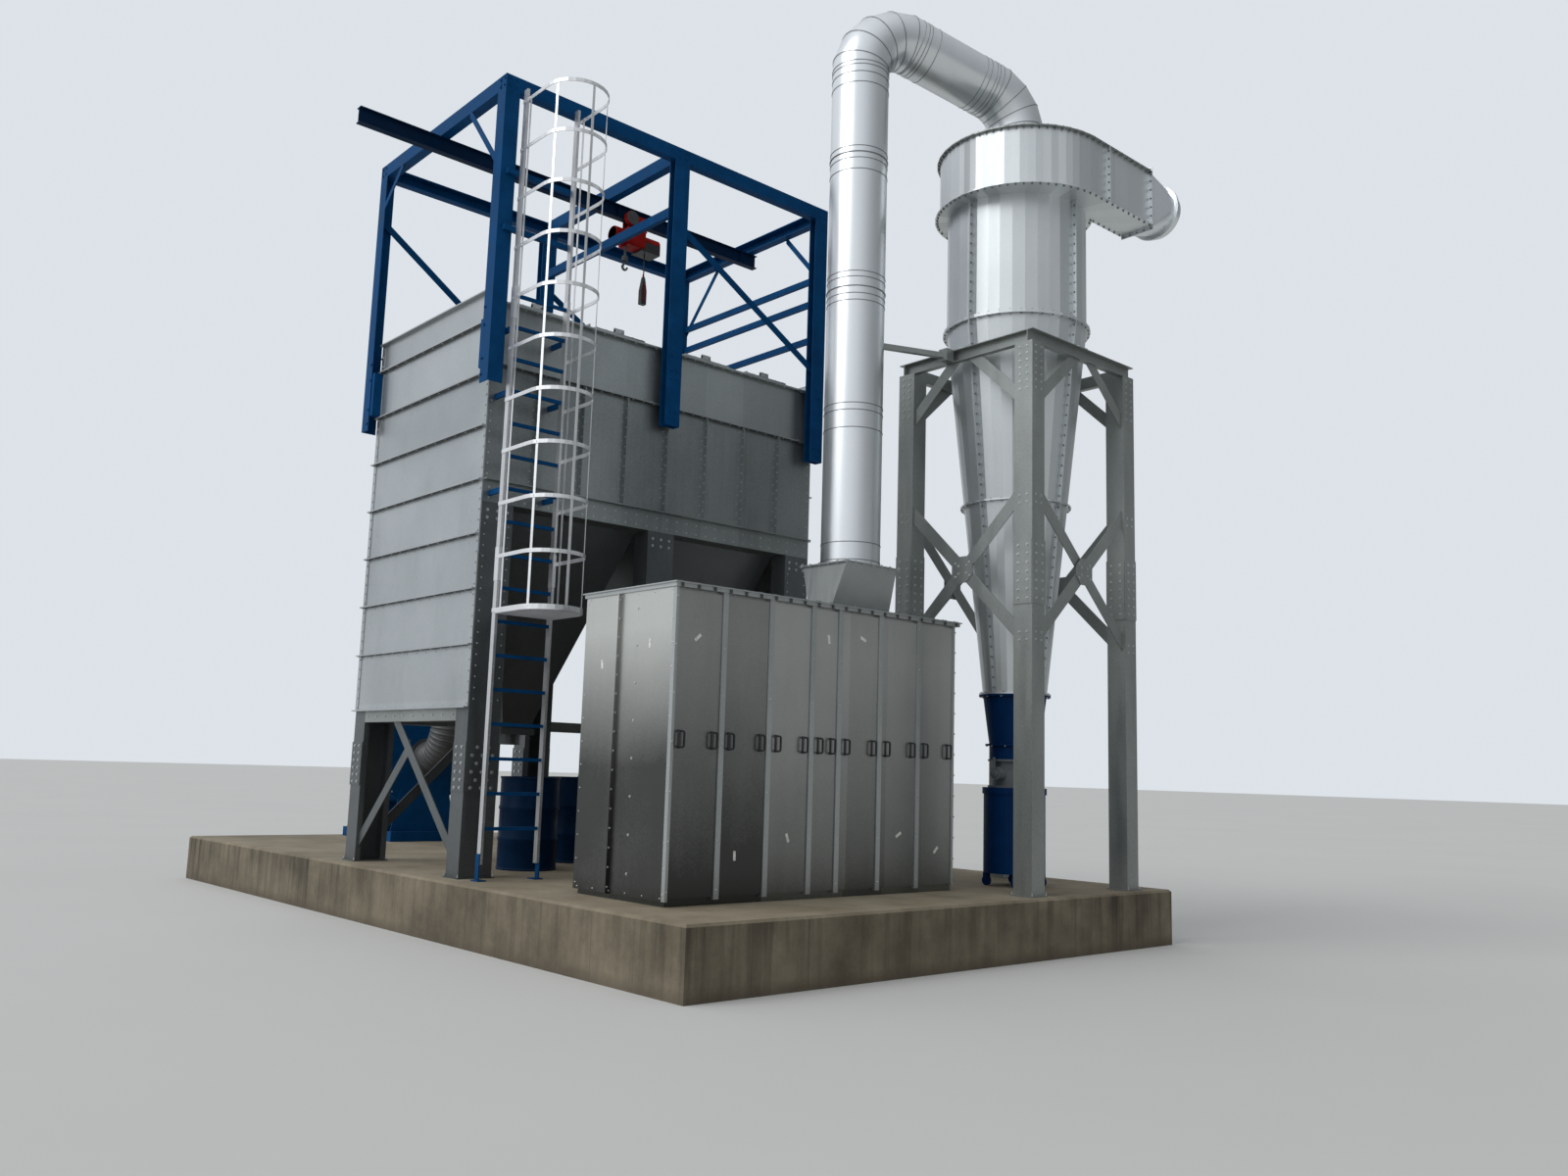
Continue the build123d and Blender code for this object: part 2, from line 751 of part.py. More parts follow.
def hoist_frame_braces():
    """Knees under the end beams, and one diagonal in each braced bay."""
    top = (POST_BOTTOM, frame_low)
    inner_y = (frame_y0 + CORNER_POST, frame_y1 - CORNER_POST)
    knees = (
        (corner_x + PLATE / 2, inner_y[0], NEAR_KNEES[0]),
        (corner_x + PLATE / 2, inner_y[1], NEAR_KNEES[1]),
        (frame_x1 - PLATE / 2, frame_y0 + POST_DEPTH, FAR_KNEES[0]),
        (frame_x1 - PLATE / 2, frame_y1 - POST_DEPTH, FAR_KNEES[1]),
    )
    braces = []
    for x, y, (foot_z, reach) in knees:
        y_limits = span(y, reach)
        bay = (around(x, KNEE_W), y_limits, top)
        braces.append(brace((x, y, foot_z), (x, y + reach, frame_low), KNEE_W, PLATE, bay))
    webs = [x + POST_WEB - PLATE for x in post_columns]
    front_y = frame_y0 + POST_DEPTH / 2
    back_y = frame_y1 - POST_DEPTH / 2
    diagonals = (
        (front_y, webs[0] + PLATE, FAR_BRACE_TOP, webs[1], FAR_BRACE_FOOT),
        (back_y, webs[0] + PLATE, FAR_BRACE_TOP, webs[1], FAR_BRACE_FOOT),
        (back_y, corner_x + PLATE, NEAR_BRACE_TOP, webs[0], NEAR_BRACE_FOOT),
    )
    for y, x_low, z_low, x_high, z_high in diagonals:
        bay = ((x_low, x_high), around(y, POST_DEPTH), top)
        braces.append(brace((x_low, y, z_low), (x_high, y, z_high), FRAME_BRACE_W, PLATE, bay))
    return braces


def guard_rails():
    """Three rails along the far end of the frame."""
    x = (frame_x1 - PLATE - GUARD_W, frame_x1 - PLATE)
    y = (frame_y0 + POST_DEPTH, frame_y1 - POST_DEPTH)
    return [block(x, y, (z, z + GUARD_H)) for z in RAIL_LEVELS]


def monorail_beam():
    """I-beam hung below the cross beams, running out past the near end, with two end stops."""
    x = (HOUSE_X - RAIL_OVERHANG, HOUSE_X + RAIL_END)
    y = house_mid_y
    z = (rail_low, frame_low)
    wide = around(y, RAIL_W / 2)
    pieces = [
        block(x, wide, (z[1] - RAIL_FLANGE, z[1])),
        block(x, wide, (z[0], z[0] + RAIL_FLANGE)),
        block(x, around(y, RAIL_WEB / 2), z),
    ]
    for x_stop in (HOIST_X + TRAVEL_LOW - STOP_REACH - PLATE, HOIST_X + TRAVEL_HIGH + STOP_REACH):
        pieces.append(block((x_stop, x_stop + PLATE), wide, z))
    return [fuse(pieces)]


def trolley_pins():
    """Cross pins below the beam that carry the hoist."""
    outer = RAIL_W / 2 + TROLLEY_GAP + TROLLEY_T
    z = rail_low - PIN_DROP
    ends = around(house_mid_y, outer)
    places = around(HOIST_X, WHEEL_X)
    return [rod((x, ends[0], z), (x, ends[1], z), PIN_R) for x in places]


def hoist_trolley():
    """Two side plates with four wheels on the lower flange, cross pins and a hand-chain drum."""
    y = house_mid_y
    pieces = []
    reach = RAIL_W / 2 + TROLLEY_GAP
    for out in (-1, 1):
        plate_y = span(y + out * reach, out * TROLLEY_T)
        plate_x = around(HOIST_X, TROLLEY_HALF)
        pieces.append(block(plate_x, plate_y, (rail_low - TROLLEY_DROP, rail_low + TROLLEY_RISE)))
        for x in around(HOIST_X, WHEEL_X):
            wheel_z = rail_low + RAIL_FLANGE + WHEEL_GAP + WHEEL_R
            inner = y + out * (RAIL_WEB / 2 + WHEEL_INSET)
            pieces.append(rod((x, inner, wheel_z), (x, y + out * reach, wheel_z), WHEEL_R))
    outer = reach + TROLLEY_T
    drum_x = HOIST_X - TROLLEY_DRUM_X
    drum_z = rail_low + TROLLEY_DRUM_Z
    drum_y = (y - outer - TROLLEY_DRUM_LEN, y - outer)
    pieces.append(rod((drum_x, drum_y[0], drum_z), (drum_x, drum_y[1], drum_z), TROLLEY_DRUM_R))
    return [fuse(pieces + trolley_pins())]


def chain_hoist():
    """Gear case with a motor and a cover on its ends, hung from the trolley's pins by a lug."""
    y = house_mid_y
    z = HOIST_AXIS_Z
    gear_x = (HOIST_X - GEAR_LEFT, HOIST_X + GEAR_RIGHT)
    gear = block(gear_x, around(y, GEAR_HALF), (z - GEAR_DOWN, z + GEAR_UP))
    gear = chamfer(gear.edges().filter_by(Axis.X), GEAR_EDGE)
    lug_z = (z + GEAR_UP, rail_low - PIN_DROP)
    lug_x = (HOIST_X - WHEEL_X - LUG_HALF, gear_x[1])
    lug = block(lug_x, around(y, LUG_HALF), lug_z) - fuse(trolley_pins())
    motor = rod((HOIST_X - MOTOR_END, y, z), (gear_x[0], y, z), HOIST_MOTOR_R)
    cover = rod((gear_x[1], y, z), (HOIST_X + COVER_END, y, z), HOIST_MOTOR_R)
    return [fuse([gear, lug, motor, cover])]


def hoist_chain_box():
    """Black chain box below the cover end."""
    y = house_mid_y
    low = (HOIST_X + CHAIN_BOX_X[0], HOIST_X + CHAIN_BOX_X[1])
    top_z = HOIST_AXIS_Z - HOIST_MOTOR_R
    box = block(low, around(y, CHAIN_BOX_HALF), (CHAIN_BOX_LOW, top_z + CHAIN_BOX_LAP))
    case = rod((low[0], y, HOIST_AXIS_Z), (low[1], y, HOIST_AXIS_Z), HOIST_MOTOR_R)
    gear = block(
        (HOIST_X - GEAR_LEFT, HOIST_X + GEAR_RIGHT),
        around(y, GEAR_HALF),
        (HOIST_AXIS_Z - GEAR_DOWN, HOIST_AXIS_Z + GEAR_UP),
    )
    return [box - case - gear]


def hoist_hook():
    """Chain, swivel block and hook below the gear case."""
    y = house_mid_y
    x = HOIST_X - HOOK_SHIFT
    top = HOIST_AXIS_Z - GEAR_DOWN
    block_low = HOOK_LOW + HOOK_H
    chain = block(span(x - CHAIN_W / 2, CHAIN_W), around(y, CHAIN_W / 2), (block_low, top))
    swivel = prism(octagon(x, y, SWIVEL_R), block_low, SWIVEL_H)
    plane = Plane(origin=(x, y + HOOK_T / 2, block_low), x_dir=(1, 0, 0), z_dir=(0, -1, 0))
    hook = extrude(plane * make_face(Polyline(*HOOK_PROFILE, close=True)), amount=HOOK_T)
    return [fuse([chain, swivel, hook])]


def pendant_cable():
    """Control cable hanging from the chain box."""
    x = HOIST_X + PENDANT_X
    return [rod((x, house_mid_y, PENDANT_TOP), (x, house_mid_y, CHAIN_BOX_LOW), CABLE_R)]


def pendant_control():
    """Long hand control on the end of its cable."""
    x = HOIST_X + PENDANT_X
    y = house_mid_y
    neck = PENDANT_NECK_W / 2
    body = PENDANT_W / 2
    deep = around(y, PENDANT_D / 2)
    rings = (
        square_ring(around(x, neck), around(y, neck), PENDANT_TOP),
        square_ring(around(x, neck), deep, PENDANT_TOP - PENDANT_NECK_H),
        square_ring(around(x, body), deep, PENDANT_TOP - PENDANT_H / 2),
        square_ring(around(x, body), deep, PENDANT_TOP - PENDANT_H),
    )
    return [fuse([skin(low, high) for high, low in zip(rings[:-1], rings[1:])])]


def ladder_stile_x():
    """Low X edges of the two stiles."""
    return (LADDER_X, LADDER_X + LADDER_WIDTH - STILE_T)


def ladder_rails():
    """Two flat stiles, standing off the wall."""
    y = (LADDER_Y - STILE_DEPTH, LADDER_Y)
    return [block((x, x + STILE_T), y, (LADDER_BOTTOM, LADDER_TOP)) for x in ladder_stile_x()]


def ladder_rungs():
    """Square rungs between the stiles."""
    rungs = []
    x = (LADDER_X + STILE_T, LADDER_X + LADDER_WIDTH - STILE_T)
    y_mid = LADDER_Y - STILE_DEPTH / 2
    count = int((RUNG_TOP - LADDER_BOTTOM) / RUNG_STEP)
    for i in range(1, count + 1):
        z = LADDER_BOTTOM + i * RUNG_STEP
        rungs.append(block(x, around(y_mid, RUNG_D / 2), around(z, RUNG_H / 2)))
    return rungs


def ladder_brackets():
    """Feet on the deck, arms back to the housing wall and bars to the frame's corner post."""
    arms = []
    stiles = ladder_stile_x()
    for x in stiles:
        for z in WALL_ARMS:
            arms.append(block((x, x + STILE_T), (LADDER_Y, HOUSE_Y), (z, z + ARM_H)))
        foot_x = span(x, -FOOT_PLATE_T) if x == stiles[0] else span(x + STILE_T, FOOT_PLATE_T)
        base_x = (x - FOOT_BASE, x + STILE_T + FOOT_BASE)
        y = (LADDER_Y - STILE_DEPTH, LADDER_Y)
        upright_plate = block(foot_x, y, (DECK, FOOT_ANGLE_TOP))
        base = block(base_x, (y[0] - FOOT_BASE, y[1] + FOOT_BASE), (DECK, DECK + FOOT_PLATE_T))
        arms.append(fuse([upright_plate, base]))
    bar_x = (corner_x + CORNER_POST - FRAME_ARM_LAP, stiles[1] + STILE_T)
    for z in FRAME_ARMS:
        arms.append(block(bar_x, (LADDER_Y, frame_y0), (z, z + ARM_H)))
    return arms


def hoop_plan(radius):
    """Plan of a cage hoop: half round in short flats, with straight ends back to the stiles."""
    centre_y = CAGE_R - CAGE_DEPTH
    turns = [pi + pi * i / CAGE_FLATS for i in range(CAGE_FLATS + 1)]
    points = [(radius * cos(turn), centre_y + radius * sin(turn), 0) for turn in turns]
    points += [(radius, STILE_DEPTH, 0), (-radius, STILE_DEPTH, 0)]
    return make_face(Polyline(*points, close=True))


def cage_hoops():
    """Flat hoops round the climber, open towards the wall."""
    x = LADDER_X + LADDER_WIDTH / 2
    y = LADDER_Y - STILE_DEPTH
    flat_hoop = hoop_plan(CAGE_R) - hoop_plan(CAGE_R - CAGE_BAR)
    levels = [CAGE_BOTTOM + i * CAGE_STEP for i in range(CAGE_HOOPS)]
    return [extrude(Pos(x, y, z) * flat_hoop, amount=CAGE_HOOP_H) for z in levels]


def cage_straps():
    """Upright flat straps on the inside of the hoops."""
    x = LADDER_X + LADDER_WIDTH / 2
    y = LADDER_Y - STILE_DEPTH + CAGE_R - CAGE_DEPTH
    inner = CAGE_R - CAGE_BAR
    radius = inner * cos(pi / CAGE_FLATS / 2) - STRAP_T / 2
    z = (CAGE_BOTTOM, CAGE_BOTTOM + (CAGE_HOOPS - 1) * CAGE_STEP + CAGE_HOOP_H)
    straps = []
    for i in CAGE_STRAP_FLATS:
        turn = pi + pi * (i + 1 / 2) / CAGE_FLATS
        foot = (x + radius * cos(turn), y + radius * sin(turn), z[0])
        along = (-sin(turn), cos(turn), 0)
        straps.append(bar(foot, (foot[0], foot[1], z[1]), STRAP_W, STRAP_T, along))
    back = LADDER_Y - STILE_DEPTH - CAGE_STRAP_BACK
    for out in (-1, 1):
        straps.append(block(span(x + out * inner, -out * STRAP_T), (back - STRAP_W, back), z))
    return straps


def cage_hatch():
    """Flat plate that closes the cage's lowest hoop."""
    x = LADDER_X + LADDER_WIDTH / 2
    y = LADDER_Y - STILE_DEPTH
    low = CAGE_BOTTOM - HATCH_PLATE_T
    plate = extrude(Pos(x, y, low) * hoop_plan(CAGE_R), amount=HATCH_PLATE_T)
    beyond = block(around(x, CAGE_DEPTH), (y, y + CAGE_DEPTH), around(CAGE_BOTTOM, 2 * HATCH_PLATE_T))
    return [plate - beyond]


door_edges = [BOX_X + sum(DOOR_WIDTHS[:i]) for i in range(len(DOOR_WIDTHS) + 1)]


def filter_box_body():
    """Closed casing on a set-back base rail, with a bolted seam up each end."""
    x = (BOX_X, BOX_X + BOX_LEN)
    y_front = BOX_Y + DOOR_INSET + DOOR_T
    y_back = BOX_Y + BOX_DEPTH
    z = (DECK + BOX_RAIL, BOX_TOP - LID_H)
    pieces = [block(x, (y_front, y_back), z)]
    rail_x = (x[0] + BASE_INSET, x[1] - BASE_INSET)
    pieces.append(block(rail_x, (y_front, y_back - BASE_INSET), (DECK, z[0])))
    seam_y = (BOX_Y + END_SEAM, BOX_Y + END_SEAM + PLATE)
    for x_face, out in ((x[0], -1), (x[1], 1)):
        pieces.append(block(span(x_face, out * END_SEAM_PROUD), seam_y, z))
    return [fuse(pieces)]


def door_stiles():
    """Fixed upright stiles between the doors and at both ends of the row."""
    y = (BOX_Y, BOX_Y + DOOR_INSET + DOOR_T)
    z = (DECK + BOX_RAIL, BOX_TOP - LID_H)
    half = STILE_W / 2
    ends = (door_edges[0], door_edges[-1])
    return [block((max(edge - half, ends[0]), min(edge + half, ends[1])), y, z) for edge in door_edges]


def filter_box_lid():
    """Top sheet with a turned-down flange round it."""
    pieces = []
    for edge, height in ((LID_EDGE, LID_H), (2 * LID_EDGE, PLATE)):
        x = (BOX_X - edge, BOX_X + BOX_LEN + edge)
        y = (BOX_Y - edge, BOX_Y + BOX_DEPTH + edge)
        pieces.append(block(x, y, (BOX_TOP - height, BOX_TOP)))
    return [fuse(pieces)]


def door_panels():
    """Seven lift-off doors between the stiles."""
    doors = []
    y = (BOX_Y + DOOR_INSET, BOX_Y + DOOR_INSET + DOOR_T)
    z = (DECK + BOX_RAIL + DOOR_SILL, BOX_TOP - LID_H - DOOR_SILL)
    edge_gap = STILE_W / 2 + STILE_GAP
    for low, high in zip(door_edges[:-1], door_edges[1:]):
        doors.append(block((low + edge_gap, high - edge_gap), y, z))
    return doors


def door_handles():
    """Black loop handles, one near each upright edge of a door."""
    handles = []
    y = (BOX_Y + DOOR_INSET - HANDLE_PROUD, BOX_Y + DOOR_INSET)
    places = [edge + HANDLE_INSET for edge in door_edges[:-1]]
    places += [edge - HANDLE_INSET for edge in door_edges[1:]]
    for x in sorted(places):
        half_w = HANDLE_W / 2
        half_h = HANDLE_H / 2
        outer = block(around(x, half_w), y, around(HANDLE_Z, half_h))
        outer = chamfer(outer.edges().filter_by(Axis.Y), HANDLE_T)
        grip_x = (x - half_w + HANDLE_T, x + half_w - HANDLE_T)
        grip = block(grip_x, y, (HANDLE_Z - half_h + HANDLE_T, HANDLE_Z + half_h - HANDLE_T))
        handles.append(outer - grip)
    return handles


def outlet_hood():
    """Flat-sided hood from the box top up to a bolted flange and the round riser's collar."""
    foot_x = around(RISER_X, HOOD_FOOT[0] / 2)
    foot_y = around(RISER_Y, HOOD_FOOT[1] / 2)
    x = around(RISER_X, HOOD_FLANGE[0] / 2)
    y = around(RISER_Y, HOOD_FLANGE[1] / 2)
    body = skin(square_ring(foot_x, foot_y, BOX_TOP), square_ring(x, y, HOOD_TOP))
    rim_x = (x[0] - HOOD_RIM, x[1] + HOOD_RIM)
    rim_y = (y[0] - HOOD_RIM, y[1] + HOOD_RIM)
    rim = block(rim_x, rim_y, (HOOD_TOP, HOOD_TOP + HOOD_RIM_T))
    return [fuse([body, rim])]


run_flat = hypot(CYCLONE_X - RISER_X, CYCLONE_Y - RISER_Y)
corner_a = Vector(RISER_X, RISER_Y, RUN_START_Z)
corner_b = Vector(CYCLONE_X, CYCLONE_Y, RUN_END_Z)
run_axis = (corner_b - corner_a).normalized()
run_slope = atan2(RUN_START_Z - RUN_END_Z, run_flat)
reach_a = ELBOW_R * tan((pi / 2 + run_slope) / 2)
reach_b = ELBOW_R * tan((pi / 2 - run_slope) / 2)
elbow_a_start = corner_a - Vector(0, 0, reach_a)
elbow_a_end = corner_a + run_axis * reach_a
elbow_b_start = corner_b - run_axis * reach_b
elbow_b_end = corner_b - Vector(0, 0, reach_b)


def elbow(start, corner, end, radius, bend, gores, tail=0):
    """Segmented elbow from start to end round the corner point, with a straight tail."""
    to_start = (start - corner).normalized()
    to_end = (end - corner).normalized()
    angle = radians((start - corner).get_angle(end - corner))
    centre = corner + (to_start + to_end).normalized() * (bend / sin(angle / 2))
    radial = (start - centre).normalized()
    forward = to_start * -1
    step = (pi - angle) / gores
    points = [start]
    reach = bend / cos(step / 2)
    for i in range(gores):
        turn = step * (i + 1 / 2)
        points.append(centre + radial * (reach * cos(turn)) + forward * (reach * sin(turn)))
    points.append(end + to_end * tail)
    section = Plane(origin=start, z_dir=forward) * RegularPolygon(radius, ROUND_SIDES)
    return sweep(section, path=Polyline(*points), transition=Transition.RIGHT)


def riser_duct():
    """Upright duct on the hood, up to the top elbow, with a flanged foot collar."""
    z_low = HOOD_TOP + HOOD_RIM_T
    duct = upright(RISER_X, RISER_Y, z_low, DUCT_R, elbow_a_start.Z - z_low)
    collar = upright(RISER_X, RISER_Y, z_low, DUCT_R + COLLAR_REACH, COLLAR_H)
    return [fuse([duct, collar])]


def top_elbow():
    """Segmented elbow from the riser into the crossover."""
    return [elbow(elbow_a_start, corner_a, elbow_a_end, DUCT_R, ELBOW_R, TOP_GORES)]


def crossover_duct():
    """Sloping run from the riser's elbow to the cyclone's elbow."""
    return [rod(elbow_a_end, elbow_b_start, DUCT_R, ROUND_SIDES)]


def drop_elbow():
    """Segmented elbow and stub down into the cyclone roof."""
    stub = elbow_b_end.Z - CYCLONE_ROOF
    return [elbow(elbow_b_start, corner_b, elbow_b_end, DUCT_R, ELBOW_R, DROP_GORES, stub)]


def duct_strut():
    """Tie from the tower's top ring to the riser, with a foot plate on the tower."""
    z = TOWER_TOP - STRUT_DROP
    y = TOWER_Y + TOWER_WIDTH * STRUT_PLACE
    start = (TOWER_X - STRUT_W, y, z)
    tie = bar(start, (RISER_X, RISER_Y, z), STRUT_W, STRUT_W)
    half_z = TOWER_RING_H / 2
    foot = block((TOWER_X - STRUT_W * 2, TOWER_X), around(y, STRUT_W), around(z, half_z))
    return [fuse([tie, foot]) - upright(RISER_X, RISER_Y, z - DUCT_R, DUCT_R, 2 * DUCT_R)]


def scroll_outline(grow):
    """Plan of the inlet scroll, set out by grow: the spiral wall, then the straight inlet."""
    inner = INLET_INNER - grow
    lip_x = sqrt((SCROLL_MIN + grow) ** 2 - inner ** 2)
    last = 360 - degrees(atan2(lip_x, inner))
    points = []
    for angle in range(0, int(last), SCROLL_STEP):
        radius = max(SCROLL_MIN, SCROLL_R - SCROLL_SHRINK * angle) + grow
        turn = radians(angle)
        points.append((-radius * sin(turn), -radius * cos(turn)))
    points += [(lip_x, -inner), (INLET_X, -inner), (INLET_X, -SCROLL_R - grow)]
    return [(CYCLONE_X + x, CYCLONE_Y + y) for x, y in points]


def cyclone_scroll():
    """Folded spiral inlet casing with a flanged floor rim and an upright seam in its mouth wall."""
    low = CYCLONE_ROOF - SCROLL_H
    body = prism(scroll_outline(0), low, SCROLL_H - ROOF_T)
    rim = prism(scroll_outline(FLOOR_RIM), low, FLOOR_T)
    seam_x = (CYCLONE_X + SCROLL_SEAM_X, CYCLONE_X + SCROLL_SEAM_X + SEAM_T)
    seam_y = (CYCLONE_Y - SCROLL_R - SEAM, CYCLONE_Y - SCROLL_R)
    seam = block(seam_x, seam_y, (low, CYCLONE_ROOF - ROOF_T))
    return [fuse([body, rim, seam])]


def cyclone_roof():
    """Flat roof plate over the scroll, with a bolting rim and a collar for the duct."""
    plate = prism(scroll_outline(ROOF_RIM), CYCLONE_ROOF - ROOF_T, ROOF_T)
    return [plate]


def inlet_taper(x0, x1, y, z):
    """Flat-sided transition from the scroll's rectangular mouth at x0 to a many-sided end at x1."""
    half_y = (SCROLL_R - INLET_INNER) / 2
    half_z = SCROLL_H / 2
    corners = [(x0, y + u * half_y, z + v * half_z) for u, v in ((-1, -1), (1, -1), (1, 1), (-1, 1))]
    turns = [pi * 5 / 4 + 2 * pi * i / INLET_SIDES for i in range(INLET_SIDES)]
    end = [(x1, y + COLLAR_R * cos(a), z + COLLAR_R * sin(a)) for a in turns]
    half_quarter = INLET_SIDES // 8
    outlines = [corners, end]
    for k in range(4):
        first = corners[k]
        second = corners[(k + 1) % 4]
        start = 2 * half_quarter * k
        outlines.append([first, second, end[start + half_quarter]])
        for i in range(2 * half_quarter):
            near = first if i < half_quarter else second
            outlines.append([near, end[start + i], end[(start + i + 1) % INLET_SIDES]])
    return Solid(Shell([Face(Wire.make_polygon(outline)) for outline in outlines]))


def cyclone_inlet():
    """Transition from the scroll's mouth to a round collar, flanged at both ends."""
    half_y = (SCROLL_R - INLET_INNER) / 2 + INLET_FLANGE
    half_z = SCROLL_H / 2 + INLET_FLANGE
    y = CYCLONE_Y - (SCROLL_R + INLET_INNER) / 2
    z = CYCLONE_ROOF - SCROLL_H / 2
    mouth_x = CYCLONE_X + INLET_X
    x0 = mouth_x + INLET_FLANGE_T
    x1 = mouth_x + INLET_TAPER
    flange = block((mouth_x, x0), around(y, half_y), around(z, half_z))
    rim = rod((x1 - INLET_FLANGE_T, y, z), (x1 + INLET_FLANGE_T, y, z), COLLAR_R + INLET_FLANGE)
    collar = rod((x1, y, z), (x1 + COLLAR_LEN, y, z), COLLAR_R)
    bore = rod((x1, y, z), (x1 + COLLAR_LEN, y, z), COLLAR_R - DUCT_WALL)
    return [fuse([flange, inlet_taper(x0, x1, y, z), rim, collar]) - bore]


def seam_strips(low_radius, low_z, high_radius, high_z):
    """Four upright flange strips, on the X and Y sides of a many-sided shell."""
    strips = []
    for i in range(4):
        turn = pi / 2 * i
        along = (-sin(turn), cos(turn), 0)
        ends = []
        for radius, z in ((low_radius, low_z), (high_radius, high_z)):
            middle = radius + (SEAM - SEAM_LAP) / 2
            ends.append((CYCLONE_X + middle * cos(turn), CYCLONE_Y + middle * sin(turn), z))
        strip = bar(ends[0], ends[1], SEAM_T, SEAM + SEAM_LAP, along)
        wide_x = around(CYCLONE_X, SCROLL_R)
        wide_y = around(CYCLONE_Y, SCROLL_R)
        strips.append(strip & block(wide_x, wide_y, (low_z, high_z)))
    return strips


def cyclone_barrel():
    """Folded barrel below the scroll, with a rim at its foot and upright seam strips."""
    top = CYCLONE_ROOF - SCROLL_H
    pieces = [skin(facet_ring(BARREL_R, BARREL_BOTTOM), facet_ring(BARREL_R, top))]
    rim_r = BARREL_R + RIM
    pieces.append(skin(facet_ring(rim_r, BARREL_BOTTOM), facet_ring(rim_r, BARREL_BOTTOM + RIM_T)))
    pieces += seam_strips(BARREL_R, BARREL_BOTTOM, BARREL_R, top)
    return [fuse(pieces)]


def cyclone_cone():
    """Folded cone in two lengths, with rims, upright seam strips and four lugs on the tower ring."""
    slope = (BARREL_R - CONE_R) / (BARREL_BOTTOM - CONE_BOTTOM)
    middle_r = CONE_R + slope * (CONE_MID - CONE_BOTTOM)
    pieces = [skin(facet_ring(CONE_R, CONE_BOTTOM), facet_ring(BARREL_R, BARREL_BOTTOM))]
    rims = (
        (CONE_R, CONE_BOTTOM),
        (middle_r, CONE_MID - RIM_T / 2),
        (BARREL_R, BARREL_BOTTOM - RIM_T),
    )
    for radius, z in rims:
        pieces.append(skin(facet_ring(radius + RIM, z), facet_ring(radius + RIM, z + RIM_T)))
    pieces += seam_strips(CONE_R, CONE_BOTTOM, middle_r, CONE_MID)
    pieces += seam_strips(middle_r, CONE_MID, BARREL_R, BARREL_BOTTOM)
    lug_z = (TOWER_TOP, TOWER_TOP + LUG_H)
    half = LUG_W / 2
    x_limits = (TOWER_X + LUG_REACH, tower_x1 - LUG_REACH)
    y_limits = (TOWER_Y + LUG_REACH, tower_y1 - LUG_REACH)
    pieces.append(block(x_limits, around(CYCLONE_Y, half), lug_z))
    pieces.append(block(around(CYCLONE_X, half), y_limits, lug_z))
    return [fuse(pieces)]


def disc(radius, z, height):
    """A round plate on the cyclone's axis."""
    return upright(CYCLONE_X, CYCLONE_Y, z, radius, height)


def dust_hopper():
    """Flanged cone-shaped hopper between cone and valve, with a round neck."""
    pieces = [skin(facet_ring(DUST_HOPPER_R, DUST_HOPPER_LOW), facet_ring(CONE_R, CONE_BOTTOM))]
    pieces.append(disc(DUST_HOPPER_R, DUST_VALVE_TOP, DUST_HOPPER_LOW - DUST_VALVE_TOP))
    for radius, z in ((CONE_R, CONE_BOTTOM - RIM_T), (DUST_HOPPER_R, DUST_HOPPER_LOW - RIM_T / 2)):
        pieces.append(disc(radius + RIM, z, RIM_T))
    return [fuse(pieces)]


def dust_valve():
    """Grey valve body between two bolting rims, with a boss on its side."""
    height = DUST_VALVE_TOP - DUST_VALVE_BOTTOM
    pieces = [disc(VALVE_R, DUST_VALVE_BOTTOM, height)]
    for z in (DUST_VALVE_BOTTOM, DUST_VALVE_TOP - VALVE_RIM_T):
        pieces.append(disc(VALVE_RIM_R, z, VALVE_RIM_T))
    z = DUST_VALVE_BOTTOM + height / 2
    pieces.append(rod((CYCLONE_X - VALVE_BOSS, CYCLONE_Y, z), (CYCLONE_X, CYCLONE_Y, z), VALVE_BOSS_R))
    return [fuse(pieces)]


def dust_bin():
    """Round bin with a lid rim, on four castors."""
    pieces = [disc(BIN_R, BIN_BOTTOM, DUST_VALVE_BOTTOM - BIN_BOTTOM)]
    pieces.append(disc(BIN_LID_R, DUST_VALVE_BOTTOM - BIN_LID_H, BIN_LID_H))
    for x in around(CYCLONE_X, CASTOR_X):
        for y in around(CYCLONE_Y, CASTOR_Y):
            z = DECK + CASTOR_R
            pieces.append(rod((x - CASTOR_T / 2, y, z), (x + CASTOR_T / 2, y, z), CASTOR_R))
            fork_x = (x - CASTOR_T / 2 - FOOT_T, x + CASTOR_T / 2 + FOOT_T)
            pieces.append(block(fork_x, around(y, CASTOR_R / 2), (z, BIN_BOTTOM)))
    return [fuse(pieces)]


tower_x1 = TOWER_X + TOWER_LEN
tower_y1 = TOWER_Y + TOWER_WIDTH
tower_inner_x = (TOWER_X + TOWER_POST_X, tower_x1 - TOWER_POST_X)
tower_inner_y = (TOWER_Y + TOWER_POST_Y, tower_y1 - TOWER_POST_Y)


